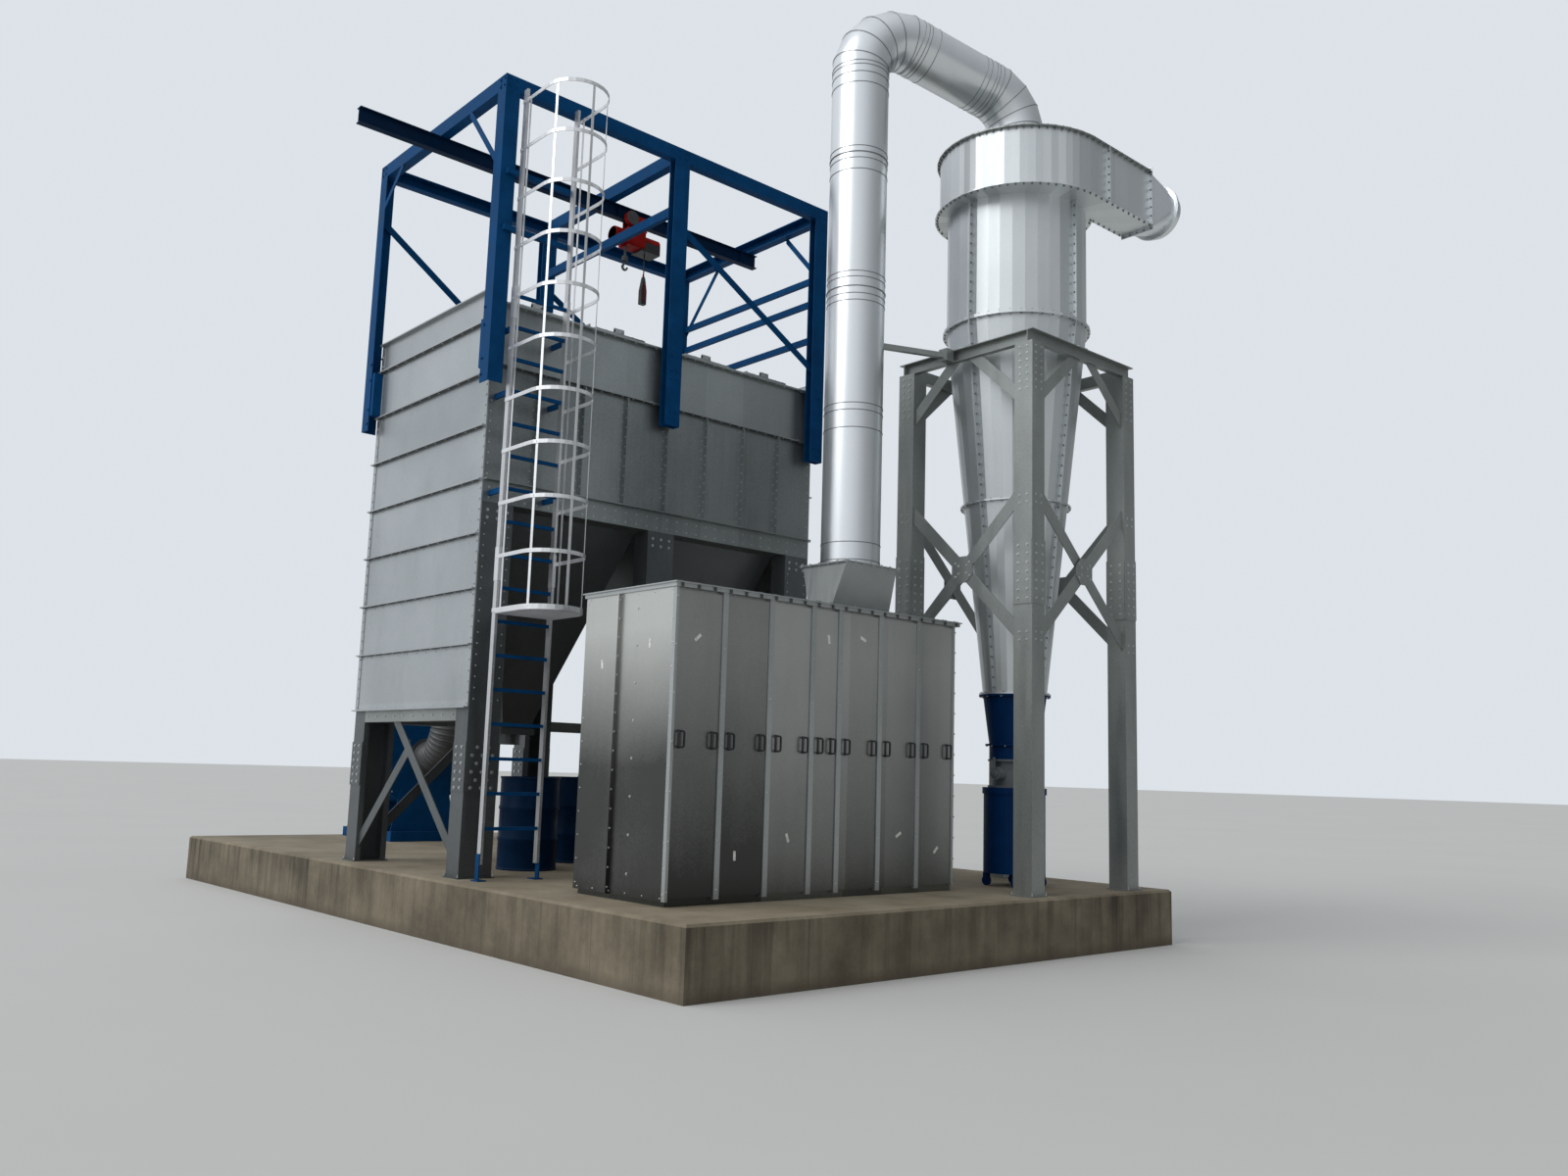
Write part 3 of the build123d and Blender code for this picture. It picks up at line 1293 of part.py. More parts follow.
def cyclone_posts():
    """Four box posts with base plates and bolted splice plates."""
    posts = []
    z_high = TOWER_TOP - TOWER_RING_H
    for x in (TOWER_X, tower_inner_x[1]):
        for y in (TOWER_Y, tower_inner_y[1]):
            x_limits = (x, x + TOWER_POST_X)
            y_limits = (y, y + TOWER_POST_Y)
            post = block(x_limits, y_limits, (DECK, z_high))
            foot_x = (x - FOOT_EDGE, x_limits[1] + FOOT_EDGE)
            foot_y = (y - FOOT_EDGE, y_limits[1] + FOOT_EDGE)
            foot = block(foot_x, foot_y, (DECK, DECK + FOOT_T))
            sleeve_x = (x - LEG_WALL, x_limits[1] + LEG_WALL)
            sleeve_y = (y - LEG_WALL, y_limits[1] + LEG_WALL)
            z = (TOWER_SPLICE_LOW, TOWER_SPLICE_HIGH)
            plates = [block(sleeve_x, y_limits, z), block(x_limits, sleeve_y, z)]
            posts.append(fuse([post, foot] + plates))
    return posts


def cyclone_top_ring():
    """Ring of channels on the post heads, open outwards, that carries the cone's lugs."""
    z = (TOWER_TOP - TOWER_RING_H, TOWER_TOP)
    x = (TOWER_X, tower_x1)
    y = (TOWER_Y + TOWER_RING_W, tower_y1 - TOWER_RING_W)
    beams = [
        beam_x(x, (TOWER_Y, TOWER_Y + TOWER_RING_W), z, -1, TOWER_RING_WALL),
        beam_x(x, (tower_y1 - TOWER_RING_W, tower_y1), z, 1, TOWER_RING_WALL),
        beam_y((TOWER_X, TOWER_X + TOWER_RING_W), y, z, -1, TOWER_RING_WALL),
        beam_y((tower_x1 - TOWER_RING_W, tower_x1), y, z, 1, TOWER_RING_WALL),
    ]
    return [fuse(beams)]


def tower_sides():
    """The four sides: way they run, place of their plane, open width, and way in."""
    return (
        ("x", TOWER_Y + CROSS_INSET, tower_inner_x, 1),
        ("x", tower_y1 - CROSS_INSET, tower_inner_x, -1),
        ("y", TOWER_X + CROSS_INSET, tower_inner_y, 1),
        ("y", tower_x1 - CROSS_INSET, tower_inner_y, -1),
    )


def side_bar(run, plane, start, end, width, open_width, z):
    """A flat bar lying in one side of the tower, cut to the open width and height."""
    deep = around(plane, CROSS_W)
    if run == "x":
        ends = [(u, plane, v) for u, v in (start, end)]
        return brace(ends[0], ends[1], width, CROSS_T, (open_width, deep, z))
    ends = [(plane, u, v) for u, v in (start, end)]
    return brace(ends[0], ends[1], width, CROSS_T, (deep, open_width, z))


def gusset(run, plane, u, z):
    """Eight-sided plate lying in one side of the tower, its middle at u, z."""
    face = make_face(Polyline(*[(a, b, 0) for a, b in octagon(u, z, GUSSET_R)], close=True))
    if run == "x":
        side = Plane(origin=(0, plane + CROSS_T / 2, 0), x_dir=(1, 0, 0), z_dir=(0, -1, 0))
    else:
        side = Plane(origin=(plane - CROSS_T / 2, 0, 0), x_dir=(0, 1, 0), z_dir=(1, 0, 0))
    return extrude(side * face, amount=CROSS_T)


def cyclone_braces():
    """On each side of the tower a crossed pair of flat bars with a gusset plate, and two knees."""
    pieces = []
    z = (CROSS_LOW - CROSS_W, CROSS_HIGH + CROSS_W)
    knee_z = (CROSS_HIGH + CROSS_W, TOWER_TOP - TOWER_RING_H)
    for run, plane, width, inward in tower_sides():
        low, high = width
        middle = (low + high) / 2
        pieces.append(side_bar(run, plane, (low, CROSS_LOW), (high, CROSS_HIGH), CROSS_W, width, z))
        plane_in = plane + inward * CROSS_T
        pieces.append(side_bar(run, plane_in, (low, CROSS_HIGH), (high, CROSS_LOW), CROSS_W, width, z))
        pieces.append(gusset(run, plane - inward * CROSS_T, middle, (CROSS_LOW + CROSS_HIGH) / 2))
        for post, reach in ((low, -KNEE_SPREAD), (high, KNEE_SPREAD)):
            ends = ((post, KNEE_FOOT), (middle + reach, knee_z[1]))
            half = tuple(sorted((post, middle)))
            pieces.append(side_bar(run, plane, ends[0], ends[1], TOWER_KNEE_W, half, knee_z))
    return pieces


def fan_side():
    """Plane of the fan casing's back face, X to the right and Z up from the fan's axis."""
    return Plane(origin=(FAN_X, FAN_Y + FAN_WIDTH, FAN_AXIS_Z), x_dir=(1, 0, 0), z_dir=(0, -1, 0))


def fan_housing():
    """Spiral fan casing, growing round to an upward flanged outlet."""
    outline = []
    for angle in range(FAN_START, 181, FAN_STEP):
        radius = FAN_R + FAN_GROW * (angle - FAN_START)
        outline.append((radius * cos(radians(angle)), -radius * sin(radians(angle))))
    wall_x = outline[-1][0]
    mouth = (wall_x, wall_x + FAN_MOUTH_W)
    outline += [(mouth[0], FAN_MOUTH_Z), (mouth[1], FAN_MOUTH_Z), (mouth[1], FAN_TONGUE_Z)]
    face = make_face(Polyline(*outline, close=True))
    casing = extrude(fan_side() * face, amount=FAN_WIDTH)
    rim_x = (FAN_X + mouth[0] - FAN_RIM, FAN_X + mouth[1] + FAN_RIM)
    rim_y = (FAN_Y - FAN_RIM, FAN_Y + FAN_WIDTH + FAN_RIM)
    rim_z = FAN_AXIS_Z + FAN_MOUTH_Z
    rim = block(rim_x, rim_y, (rim_z - FAN_RIM_T, rim_z))
    return [fuse([casing, rim])]


def fan_base():
    """Base frame of flat rails, and a cradle plate against each face of the casing."""
    x = around(FAN_X, FAN_BASE_X)
    y = FAN_BASE_Y
    z = (DECK, DECK + FAN_BASE_H)
    pieces = [block((edge, edge + FAN_BASE_W), y, z) for edge in (x[0], x[1] - FAN_BASE_W)]
    pieces += [block(x, span(edge, FAN_BASE_W), z) for edge in (y[0], MOTOR_Y[0], y[1] - FAN_BASE_W)]
    feet_y = (FAN_Y - CRADLE_T, FAN_Y + FAN_WIDTH)
    low = z[1] - FAN_AXIS_Z
    high = CRADLE_TOP - FAN_AXIS_Z
    outline = ((-CRADLE_FOOT, low), (CRADLE_FOOT, low), (CRADLE_HEAD, high), (-CRADLE_HEAD, high))
    for y_low in feet_y:
        side = Plane(origin=(FAN_X, y_low + CRADLE_T, FAN_AXIS_Z), x_dir=(1, 0, 0), z_dir=(0, -1, 0))
        pieces.append(extrude(side * make_face(Polyline(*outline, close=True)), amount=CRADLE_T))
        pieces.append(block(x, (y_low - CRADLE_T, y_low + 2 * CRADLE_T), (DECK, z[1])))
    return [fuse(pieces)]


def fan_motor():
    """Motor on a pedestal behind the casing, with its shaft and a terminal box."""
    z = FAN_AXIS_Z
    motor = rod((FAN_X, MOTOR_Y[0], z), (FAN_X, MOTOR_Y[1], z), MOTOR_R)
    shaft = rod((FAN_X, FAN_Y + FAN_WIDTH, z), (FAN_X, MOTOR_Y[0], z), SHAFT_R)
    middle_y = sum(MOTOR_Y) / 2
    box_y = around(middle_y, MOTOR_BOX)
    box = block(around(FAN_X, MOTOR_BOX), box_y, (z, z + MOTOR_R + MOTOR_BOX / 2))
    low = DECK + FAN_BASE_H
    bed = block(around(FAN_X, FAN_BASE_X), MOTOR_Y, (low, low + FAN_RIM_T))
    pedestal = block(around(FAN_X, PEDESTAL_X), (MOTOR_Y[0] + MOTOR_BOX, MOTOR_Y[1]), (low, z))
    return [fuse([motor, shaft, box, bed, pedestal])]


def fan_inlet_hose():
    """Flexible hose from the fan's eye, bending up to the suction duct."""
    corner = Vector(FAN_X, HOSE_CORNER_Y, FAN_AXIS_Z)
    start = corner + Vector(0, HOSE_BEND, 0)
    end = corner + Vector(0, 0, HOSE_BEND)
    bend = elbow(start, corner, end, HOSE_R, HOSE_BEND, HOSE_GORES, HOSE_TOP - end.Z)
    straight = rod((FAN_X, FAN_Y, FAN_AXIS_Z), start, HOSE_R, ROUND_SIDES)
    collar = rod((FAN_X, FAN_Y, FAN_AXIS_Z), (FAN_X, FAN_Y - FAN_RIM_T, FAN_AXIS_Z), HOSE_R + FAN_RIM)
    return [fuse([bend, straight, collar])]


def fan_inlet_duct():
    """Rigid duct from the hose up to an elbow, and level to a plenum on the housing's back wall."""
    corner = Vector(FAN_X, HOSE_CORNER_Y, OUTLET_Z)
    start = corner - Vector(0, 0, OUTLET_BEND)
    end = corner - Vector(0, OUTLET_BEND, 0)
    bend = elbow(start, corner, end, HOSE_R, OUTLET_BEND, OUTLET_GORES, end.Y - PLENUM_Y)
    rise = rod((FAN_X, HOSE_CORNER_Y, HOSE_TOP), start, HOSE_R, ROUND_SIDES)
    rims = [rod((FAN_X, HOSE_CORNER_Y, z), (FAN_X, HOSE_CORNER_Y, z + FAN_RIM_T), HOSE_R + DUCT_FLANGE)
            for z in (HOSE_TOP, start.Z)]
    plenum = block(PLENUM_X, (house_y1, PLENUM_Y), around(OUTLET_Z, PLENUM_HALF_Z))
    return [fuse([bend, rise, plenum] + rims) - side_wall(house_y1, 1)[0]]


NODES = {
    "concrete_plinth": concrete_plinth,
    "housing_legs": housing_legs,
    "ring_beam_sides": ring_beam_sides,
    "ring_beam_ends": ring_beam_ends,
    "leg_braces": leg_braces,
    "housing_roof": housing_roof,
    "roof_hatches": roof_hatches,
    "hoppers": hoppers,
    "box_to_hopper_duct": box_to_hopper_duct,
    "carbon_drums": carbon_drums,
    "hoist_frame_posts": hoist_frame_posts,
    "frame_long_beams": frame_long_beams,
    "frame_cross_beams": frame_cross_beams,
    "hoist_frame_braces": hoist_frame_braces,
    "guard_rails": guard_rails,
    "monorail_beam": monorail_beam,
    "hoist_trolley": hoist_trolley,
    "chain_hoist": chain_hoist,
    "hoist_chain_box": hoist_chain_box,
    "hoist_hook": hoist_hook,
    "pendant_cable": pendant_cable,
    "pendant_control": pendant_control,
    "ladder_rails": ladder_rails,
    "ladder_rungs": ladder_rungs,
    "ladder_brackets": ladder_brackets,
    "cage_hoops": cage_hoops,
    "cage_straps": cage_straps,
    "cage_hatch": cage_hatch,
    "filter_box_body": filter_box_body,
    "door_stiles": door_stiles,
    "filter_box_lid": filter_box_lid,
    "door_panels": door_panels,
    "door_handles": door_handles,
    "outlet_hood": outlet_hood,
    "riser_duct": riser_duct,
    "top_elbow": top_elbow,
    "crossover_duct": crossover_duct,
    "drop_elbow": drop_elbow,
    "duct_strut": duct_strut,
    "cyclone_roof": cyclone_roof,
    "cyclone_scroll": cyclone_scroll,
    "cyclone_inlet": cyclone_inlet,
    "cyclone_barrel": cyclone_barrel,
    "cyclone_cone": cyclone_cone,
    "dust_hopper": dust_hopper,
    "dust_valve": dust_valve,
    "dust_bin": dust_bin,
    "cyclone_posts": cyclone_posts,
    "cyclone_top_ring": cyclone_top_ring,
    "cyclone_braces": cyclone_braces,
    "fan_housing": fan_housing,
    "fan_base": fan_base,
    "fan_motor": fan_motor,
    "fan_inlet_hose": fan_inlet_hose,
    "fan_inlet_duct": fan_inlet_duct,
}

for node, make in NODES.items():
    save(node, make())

save("end_wall_near", end_wall(HOUSE_X, -1))
save("end_wall_far", end_wall(house_x1, 1))
save("side_wall_front", side_wall(HOUSE_Y, -1))
save("side_wall_back", side_wall(house_y1, 1))
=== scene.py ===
import json
from itertools import accumulate, product
from math import atan2, cos, degrees, hypot, pi, radians, sin, sqrt, tan

import bpy
from mathutils import Matrix, Vector


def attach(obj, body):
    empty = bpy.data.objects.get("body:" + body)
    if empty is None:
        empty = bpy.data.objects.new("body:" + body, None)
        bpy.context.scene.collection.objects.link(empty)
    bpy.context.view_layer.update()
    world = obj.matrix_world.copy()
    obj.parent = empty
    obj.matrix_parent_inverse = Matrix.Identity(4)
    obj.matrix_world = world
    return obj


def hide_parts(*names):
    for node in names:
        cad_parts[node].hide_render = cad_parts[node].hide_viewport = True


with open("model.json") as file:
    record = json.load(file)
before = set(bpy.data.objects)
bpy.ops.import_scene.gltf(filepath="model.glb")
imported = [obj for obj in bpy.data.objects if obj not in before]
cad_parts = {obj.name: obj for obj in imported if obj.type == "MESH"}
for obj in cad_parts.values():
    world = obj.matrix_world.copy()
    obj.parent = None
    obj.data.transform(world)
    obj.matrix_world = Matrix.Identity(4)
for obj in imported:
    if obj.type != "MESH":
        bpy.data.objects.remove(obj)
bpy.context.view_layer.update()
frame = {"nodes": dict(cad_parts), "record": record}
scene = bpy.context.scene

# Every place below is in millimetres in the part's frame
MM = 0.001
DECK = 510
EAST, NORTH, UP = Vector((1, 0, 0)), Vector((0, 1, 0)), Vector((0, 0, 1))
WEST, SOUTH, DOWN = -EAST, -NORTH, -UP

# Camera of the photograph, in metres in the part's frame
CAMERA_PLACE = Vector((-8.087, -11.736, 1.517))
CAMERA_YAW = radians(41.623)
CAMERA_PITCH = radians(8.230)
CAMERA_ROLL = radians(1.691)
CAMERA_LENS = 29.06
CAMERA_SENSOR = 36.0

# Stage
FLOOR_SIZE = 400.0
FLOOR_COLOUR = (0.58, 0.58, 0.56)
SKY_BRIGHT = (0.93, 0.96, 1.0)
SKY_DIM = (0.165, 0.175, 0.180)
SKY_TOWARDS = (-0.80, 0.30, 0.52)
SKY_RANGE = (-0.55, 0.75)
SKY_STRENGTH = 0.90
BACKGROUND = (0.80, 0.85, 0.90)
GLOSSY_SHARE = 0.2
SUN_STRENGTH = 1.1
SUN_WIDTH = radians(40)
SUN_TURN = (radians(52), 0, radians(-100))

# Housing
HOUSE_X = (-2700, 1300)
HOUSE_Y = (-1540, 840)
SHEET = 6
RIB = 50
RIB_T = 12
STRIP = 2
BAND_BOTTOM = DECK + 4630
SIDE_BOTTOM = DECK + 3540
SIDE_TOP = DECK + 5225
END_BOTTOM = DECK + 1480
END_TOP = DECK + 5350
PANEL_TOP = DECK + 5050
PANEL_STEP = 500
PANELS = 8
BAY = 500
BOLT_PITCH = 96
HATCHES_X = (560, 1515, 2640, 3465)
HATCH_Y = 475
HATCH_LID = SIDE_TOP + 101
LEG_X = 320
LEG_Y = 230
LEG_COLUMNS = (-2700, -860, 980)
SPLICE_LEVELS = tuple(DECK + z for z in (781, 850, 920, 995, 1065, 1136))
BEAM_BOTTOM = DECK + 3345

# Filter box
BOX_X = (-2440, 780)
BOX_Y = (-4175, -2955)
BOX_TOP = DECK + 2400
DOOR_WIDTHS = (480, 480, 460, 310, 485, 485, 480)
DOOR_FACE = -4163
HANDLE_Z = DECK + 1220
HANDLE_PROUD = 27
HANDLE_IN = 84
END_SEAM_Y = -3455
END_BOLTS_Y = -3686

# Plain tags on the doors and the box's end: place along, height over the deck, tilt in degrees
TAG_SIZE = (12, 36)
TAG_T = 1.5
DOOR_TAGS = (
    (-2215, 1992, -48), (-840, 2102, 8), (-436, 2139, 68), (-1246, 485, 20),
    (-1784, 357, 2), (38, 496, -62), (521, 358, -46),
)
END_TAGS = ((-3220, 1812, 8), (-3858, 1947, -3))

# Round outlet duct: beads by height on the riser and share of the crossover, sized by rise and half width
DUCT_R = 273
DUCT_SIDES = 72
RISER = (-40, -3580)
CYCLONE = (1710, -4103)
CORNER_A = Vector((-40, -3580, DECK + 8285))
CORNER_B = Vector((1710, -4103, DECK + 7866))
ELBOW_R = 470
HOOD_TOP = DECK + 2855
HOOD_FLANGE = (332, 295)
FLANGE_T = 12
ROOF_Z = DECK + 7200
SEAM_PROUD = 3
SEAM_HALF = 4
BEAD = (4, 5)
CLAMP = (8, 6)
RISER_CLAMPS = (DECK + 5470, DECK + 6790)
RISER_BEADS = tuple(DECK + z for z in (
    2905, 3065, 4125, 4290, 4355, 5335, 5400, 5560, 5615, 6620, 6730, 6850, 7495, 7600, 7675))
CROSSOVER_BEADS = (0.03, 0.07, 0.18, 0.80, 0.86, 0.93, 0.97)

# Cyclone
FACETS = 36
SCROLL_H = 600
SCROLL_R = 900
SCROLL_LEAST = 712
SCROLL_DROP = 0.92
FLOOR_Z = ROOF_Z - SCROLL_H
INLET_IN = 600
INLET_MIDDLE = (CYCLONE[1] - 750, ROOF_Z - 300)
MOUTH_X = CYCLONE[0] + 1020
BARREL_R = 690
BARREL_BOTTOM = DECK + 5400
CONE_MID = DECK + 3622
CONE_BOTTOM = DECK + 1790
CONE_R = 303
RIM_PITCH = 92
VALVE_Z = DECK + 1045

# Cyclone tower
TOWER_X = (896, 2523)
TOWER_Y = (-4925, -3281)
TOWER_TOP = DECK + 5075
TOWER_MID = DECK + 2920
POST_X = 180
POST_Y = 200
BRACE_LEVELS = tuple(DECK + z for z in (2220, 2290, 3460, 3530, 4520, 4590))

# Fan, hose and suction duct
FAN_X = -590
FAN_Y = 3480
FAN_Z = DECK + 1050
FAN_DEPTH = 480
FAN_MOUTH = (FAN_X - 678, FAN_X - 218)
FAN_TOP = FAN_Z + 900
HOSE_R = 205
HOSE_BEND = 430
HOSE_RIB = 22
HOSE_CORNER_Y = 2980
HOSE_TOP = DECK + 1550
SUCTION_BEND = 400
SUCTION_BEAD = (6, 9)
OUTLET_Z = DECK + 4050
PLENUM_X = (-900, -280)
PLENUM_Y = 1140
MOTOR_Y = 4180

# Hoist frame, hoist and its hanging lead
FRAME_Y = (-1696, 996)
FRAME_END = -2810
FRAME_LOW = DECK + 7240
FRAME_HEADS = (DECK + 7275, DECK + 7345)
HOIST_X = -390
HOUSE_MID_Y = -350
HOIST_Z = DECK + 6890
CHAIN_X = HOIST_X - 115
CABLE_X = -245
CABLE_TOP = DECK + 6767
CABLE_FOOT = DECK + 6500
CABLE_D = 14

# Ladder and its cage
STILES = (-2640, -2085)
STILE_Y = (-1800, -1740)
CAGE_X = -2350
CAGE_Y = STILE_Y[0] - 404
CAGE_LOW = DECK + 2318
CAGE_R = 286
HOOP_STEP = 479
HOOPS = 11

# Drums: name, middle and replaced nodes of each, and the radius of the shell
DRUMS = (("near", (-1595, -800), ("carbon_drums",)), ("far", (-640, -100), ()))
DRUM_R = 282


def make_camera():
    """Camera at the photograph's place, turned by yaw, pitch and roll."""
    turn = Matrix.Rotation(-CAMERA_YAW, 3, "Z")
    tilt = Matrix.Rotation(radians(90) + CAMERA_PITCH, 3, "X")
    roll = Matrix.Rotation(CAMERA_ROLL, 3, "Z")
    camera = bpy.data.objects.new("camera", bpy.data.cameras.new("camera"))
    camera.data.lens = CAMERA_LENS
    camera.data.sensor_width = CAMERA_SENSOR
    camera.data.clip_end = 500.0
    camera.matrix_world = Matrix.Translation(CAMERA_PLACE) @ (turn @ tilt @ roll).to_4x4()
    scene.collection.objects.link(camera)
    scene.camera = camera


class Nodes:
    """A node tree, with short calls for the nodes in use."""

    def __init__(self, tree):
        self.tree = tree

    def new(self, kind, **settings):
        """A new node of a kind, with its settings."""
        node = self.tree.nodes.new("ShaderNode" + kind)
        for setting, value in settings.items():
            setattr(node, setting, value)
        return node

    def link(self, value, socket):
        """Join a socket to another, or set a plain value on it."""
        if isinstance(value, bpy.types.NodeSocket):
            self.tree.links.new(value, socket)
        else:
            socket.default_value = value

    def put(self, node, *values, **named):
        """Set a node's first inputs and its named ones, and return its outputs."""
        for name, value in (*enumerate(values), *named.items()):
            self.link(value, node.inputs[name])
        return node.outputs

    def math(self, action, *values):
        """One arithmetic step on numbers or sockets."""
        return self.put(self.new("Math", operation=action), *values)[0]

    def times(self, *values):
        """A product of two numbers, with a third added to it where one is given."""
        return self.math("MULTIPLY_ADD" if len(values) == 3 else "MULTIPLY", *values)

    def axes(self, vector):
        """The three numbers of a vector."""
        return self.put(self.new("SeparateXYZ"), vector)

    def spread(self, value, *ranges, kind="LINEAR"):
        """A number moved from one range into another, 0 to 1 unless given, and held there."""
        return self.put(self.new("MapRange", interpolation_type=kind), value, *ranges)[0]

    def mixed(self, factor, first, second):
        """A colour between two others."""
        node = self.new("Mix", data_type="RGBA")
        for socket, value in ((node.inputs[6], first), (node.inputs[7], second)):
            self.link(value if isinstance(value, bpy.types.NodeSocket) else (*value, 1.0), socket)
        return self.put(node, Factor=factor)[2]


class Finish(Nodes):
    """A material, with the object's own place and the surface's direction at hand."""

    def __init__(self, name):
        self.material = bpy.data.materials.new(name)
        self.material.use_nodes = True
        super().__init__(self.material.node_tree)
        self.shader = self.tree.nodes["Principled BSDF"]
        self.place = self.new("TexCoord").outputs["Object"]
        self.x, self.y, self.z = self.axes(self.place)
        self.nx, self.ny, self.nz = self.axes(self.new("NewGeometry").outputs["Normal"])

    def noise(self, scale, stretch=(1, 1, 1), detail=3.0, roughness=0.55):
        """Soft noise between 0 and 1."""
        vector = self.put(self.new("VectorMath", operation="MULTIPLY"), self.place, stretch)[0]
        node = self.new("TexNoise")
        return self.put(node, Vector=vector, Scale=scale, Detail=detail, Roughness=roughness)["Fac"]

    def spangle(self, scale):
        """Crystal pattern of hot-dip zinc, one grey to a crystal."""
        crystals = self.put(self.new("TexVoronoi"), Vector=self.place, Scale=scale)
        return self.axes(crystals["Color"])[0]

    def chance(self, number):
        """A steady random number between 0 and 1 for each whole number."""
        node = self.new("TexWhiteNoise", noise_dimensions="1D")
        return self.put(node, W=self.math("FLOOR", number))["Value"]

    def bump(self, height, strength, distance):
        """Small relief from a number."""
        relief = self.put(self.new("Bump"), Strength=strength, Distance=distance, Height=height)
        self.put(self.shader, Normal=relief[0])

    def finish(self, colour, metallic, roughness):
        """Set the shader's colour, metal and roughness."""
        self.put(self.shader, **{"Base Color": colour}, Metallic=metallic, Roughness=roughness)
        return self.material


def zinc(name, light, dark, metallic, rough, grain=(28, 28, 0.9), tone=None, dirt=0.25, relief=0.06,
         patchy=0.9):
    """Galvanised steel: crystals, cloudy patches, rolling streaks and dulled places."""
    made = Finish(name)
    cloud = made.noise(0.9)
    streak = made.noise(1.0, grain, detail=2.0)
    crystals = made.spangle(70.0)
    value = made.times(cloud, patchy, made.times(streak, 0.3 * patchy))
    value = made.times(crystals, 0.16 * patchy, value)
    value = made.math("ADD", value, 0.85 - 0.73 * patchy)
    if tone is not None:
        value = made.math("ADD", value, tone(made))
    colour = made.mixed(made.spread(value, 0.45, 1.25), dark, light)
    stain = made.spread(made.noise(2.3, (1, 1, 0.35), detail=6.0), 0.56, 0.78, 0.0, dirt)
    colour = made.mixed(stain, colour, [0.55 * c for c in dark])
    roughness = made.spread(streak, 0.3, 0.7, rough - 0.08 * patchy, rough + 0.10 * patchy)
    made.bump(made.times(crystals, 0.3, cloud), relief, 0.003)
    return made.finish(colour, metallic, roughness)


def panel_tone(made):
    """One grey to a panel, by height on the ends and by bay on the sides, with a paler band."""
    row = made.math("SUBTRACT", made.z, (PANEL_TOP - PANEL_STEP * 14) * MM)
    across = made.chance(made.math("DIVIDE", row, PANEL_STEP * MM))
    bay = made.math("ADD", made.x, (BAY * 20 - HOUSE_X[0]) * MM)
    along = made.chance(made.math("DIVIDE", bay, BAY * MM))
    side = made.math("GREATER_THAN", made.math("ABSOLUTE", made.ny), 0.5)
    picked = made.times(made.math("SUBTRACT", along, across), side, across)
    band = made.times(made.math("GREATER_THAN", made.z, BAND_BOTTOM * MM), side)
    return made.times(band, 0.22, made.times(picked, 0.30, -0.15))


def box_tone_and_painted_light(made):
    """Filter box: a random grey to each door, with painted light and shade: the doors paler upward, the
    ends dark below and bright only at the top, and the two near doors darker.
    """
    leaf = made.math("DIVIDE", made.math("ADD", made.x, -BOX_X[0] * MM), 0.462)
    # Painted light: the doors grow paler upward.
    height = made.spread(made.z, DECK * MM, (DECK + 2000) * MM, -0.36, 0.14)
    doors = made.times(made.chance(leaf), 0.10, height)
    doors = made.math("ADD", doors, made.spread(made.x, -1.49, -1.47, -0.16, 0.0))
    # Painted light and shade: the ends dark at the bottom and bright at the top.
    ends = made.spread(made.z, (DECK + 1000) * MM, (DECK + 2080) * MM, -0.40, 0.28)
    is_end = made.math("GREATER_THAN", made.math("ABSOLUTE", made.nx), 0.5)
    return made.times(made.math("SUBTRACT", ends, doors), is_end, doors)


def painted_facet_reflection(made):
    """Painted reflection: a random grey to each flat of the cyclone, by its turn round the axis, for the
    bright and dark bands of the flats.
    """
    from_x = made.math("SUBTRACT", made.x, CYCLONE[0] * MM)
    from_y = made.math("SUBTRACT", made.y, CYCLONE[1] * MM)
    turn = made.math("ADD", made.math("ARCTAN2", from_y, from_x), 2 * pi + pi / FACETS)
    facet = made.math("DIVIDE", turn, 2 * pi / FACETS)
    return made.times(made.chance(facet), 0.50, -0.25)


def concrete(name):
    """Cast concrete: board marks, dark runs down the sides, a paler top with old stains, and the sides
    darker towards the foot.
    """
    made = Finish(name)
    cloud = made.noise(1.6, detail=8.0, roughness=0.65)
    fine = made.noise(42.0, detail=4.0, roughness=0.7)
    side = made.mixed(made.spread(cloud, 0.32, 0.68), (0.085, 0.069, 0.045), (0.218, 0.184, 0.128))
    runs = made.noise(1.0, (9.0, 9.0, 0.5), detail=7.0, roughness=0.62)
    wet = made.times(made.spread(runs, 0.46, 0.62), made.spread(made.z, 0.0, 0.45, 0.45, 1.0))
    soaked = made.spread(made.noise(0.55, (1, 1, 0.2)), 0.40, 0.62, 0.30, 0.95)
    side = made.mixed(made.times(wet, soaked), side, (0.042, 0.033, 0.022))
    across = made.math("ADD", made.x, made.math("ADD", made.y, 30))
    boards = made.math("FRACT", made.times(across, 1.9))
    joint = made.spread(made.math("ABSOLUTE", made.math("SUBTRACT", boards, 0.5)), 0.485, 0.5, 0.0, 0.5)
    side = made.mixed(joint, side, (0.07, 0.06, 0.045))
    side = made.mixed(made.spread(made.z, 0.02, 0.10, 0.55, 0.0), side, (0.075, 0.060, 0.042))
    flat = made.mixed(made.spread(cloud, 0.30, 0.70), (0.176, 0.142, 0.092), (0.322, 0.278, 0.200))
    damp = made.spread(made.noise(0.55, detail=6.0), 0.53, 0.66, 0.0, 0.45)
    flat = made.mixed(damp, flat, (0.13, 0.108, 0.078))
    colour = made.mixed(made.spread(made.nz, 0.5, 0.9), side, flat)
    colour = made.mixed(made.spread(fine, 0.55, 0.75, 0.0, 0.3), colour, (0.09, 0.078, 0.06))
    made.bump(made.times(fine, 0.35, cloud), 0.45, 0.012)
    return made.finish(colour, 0.0, made.spread(fine, 0.3, 0.7, 0.82, 0.95))


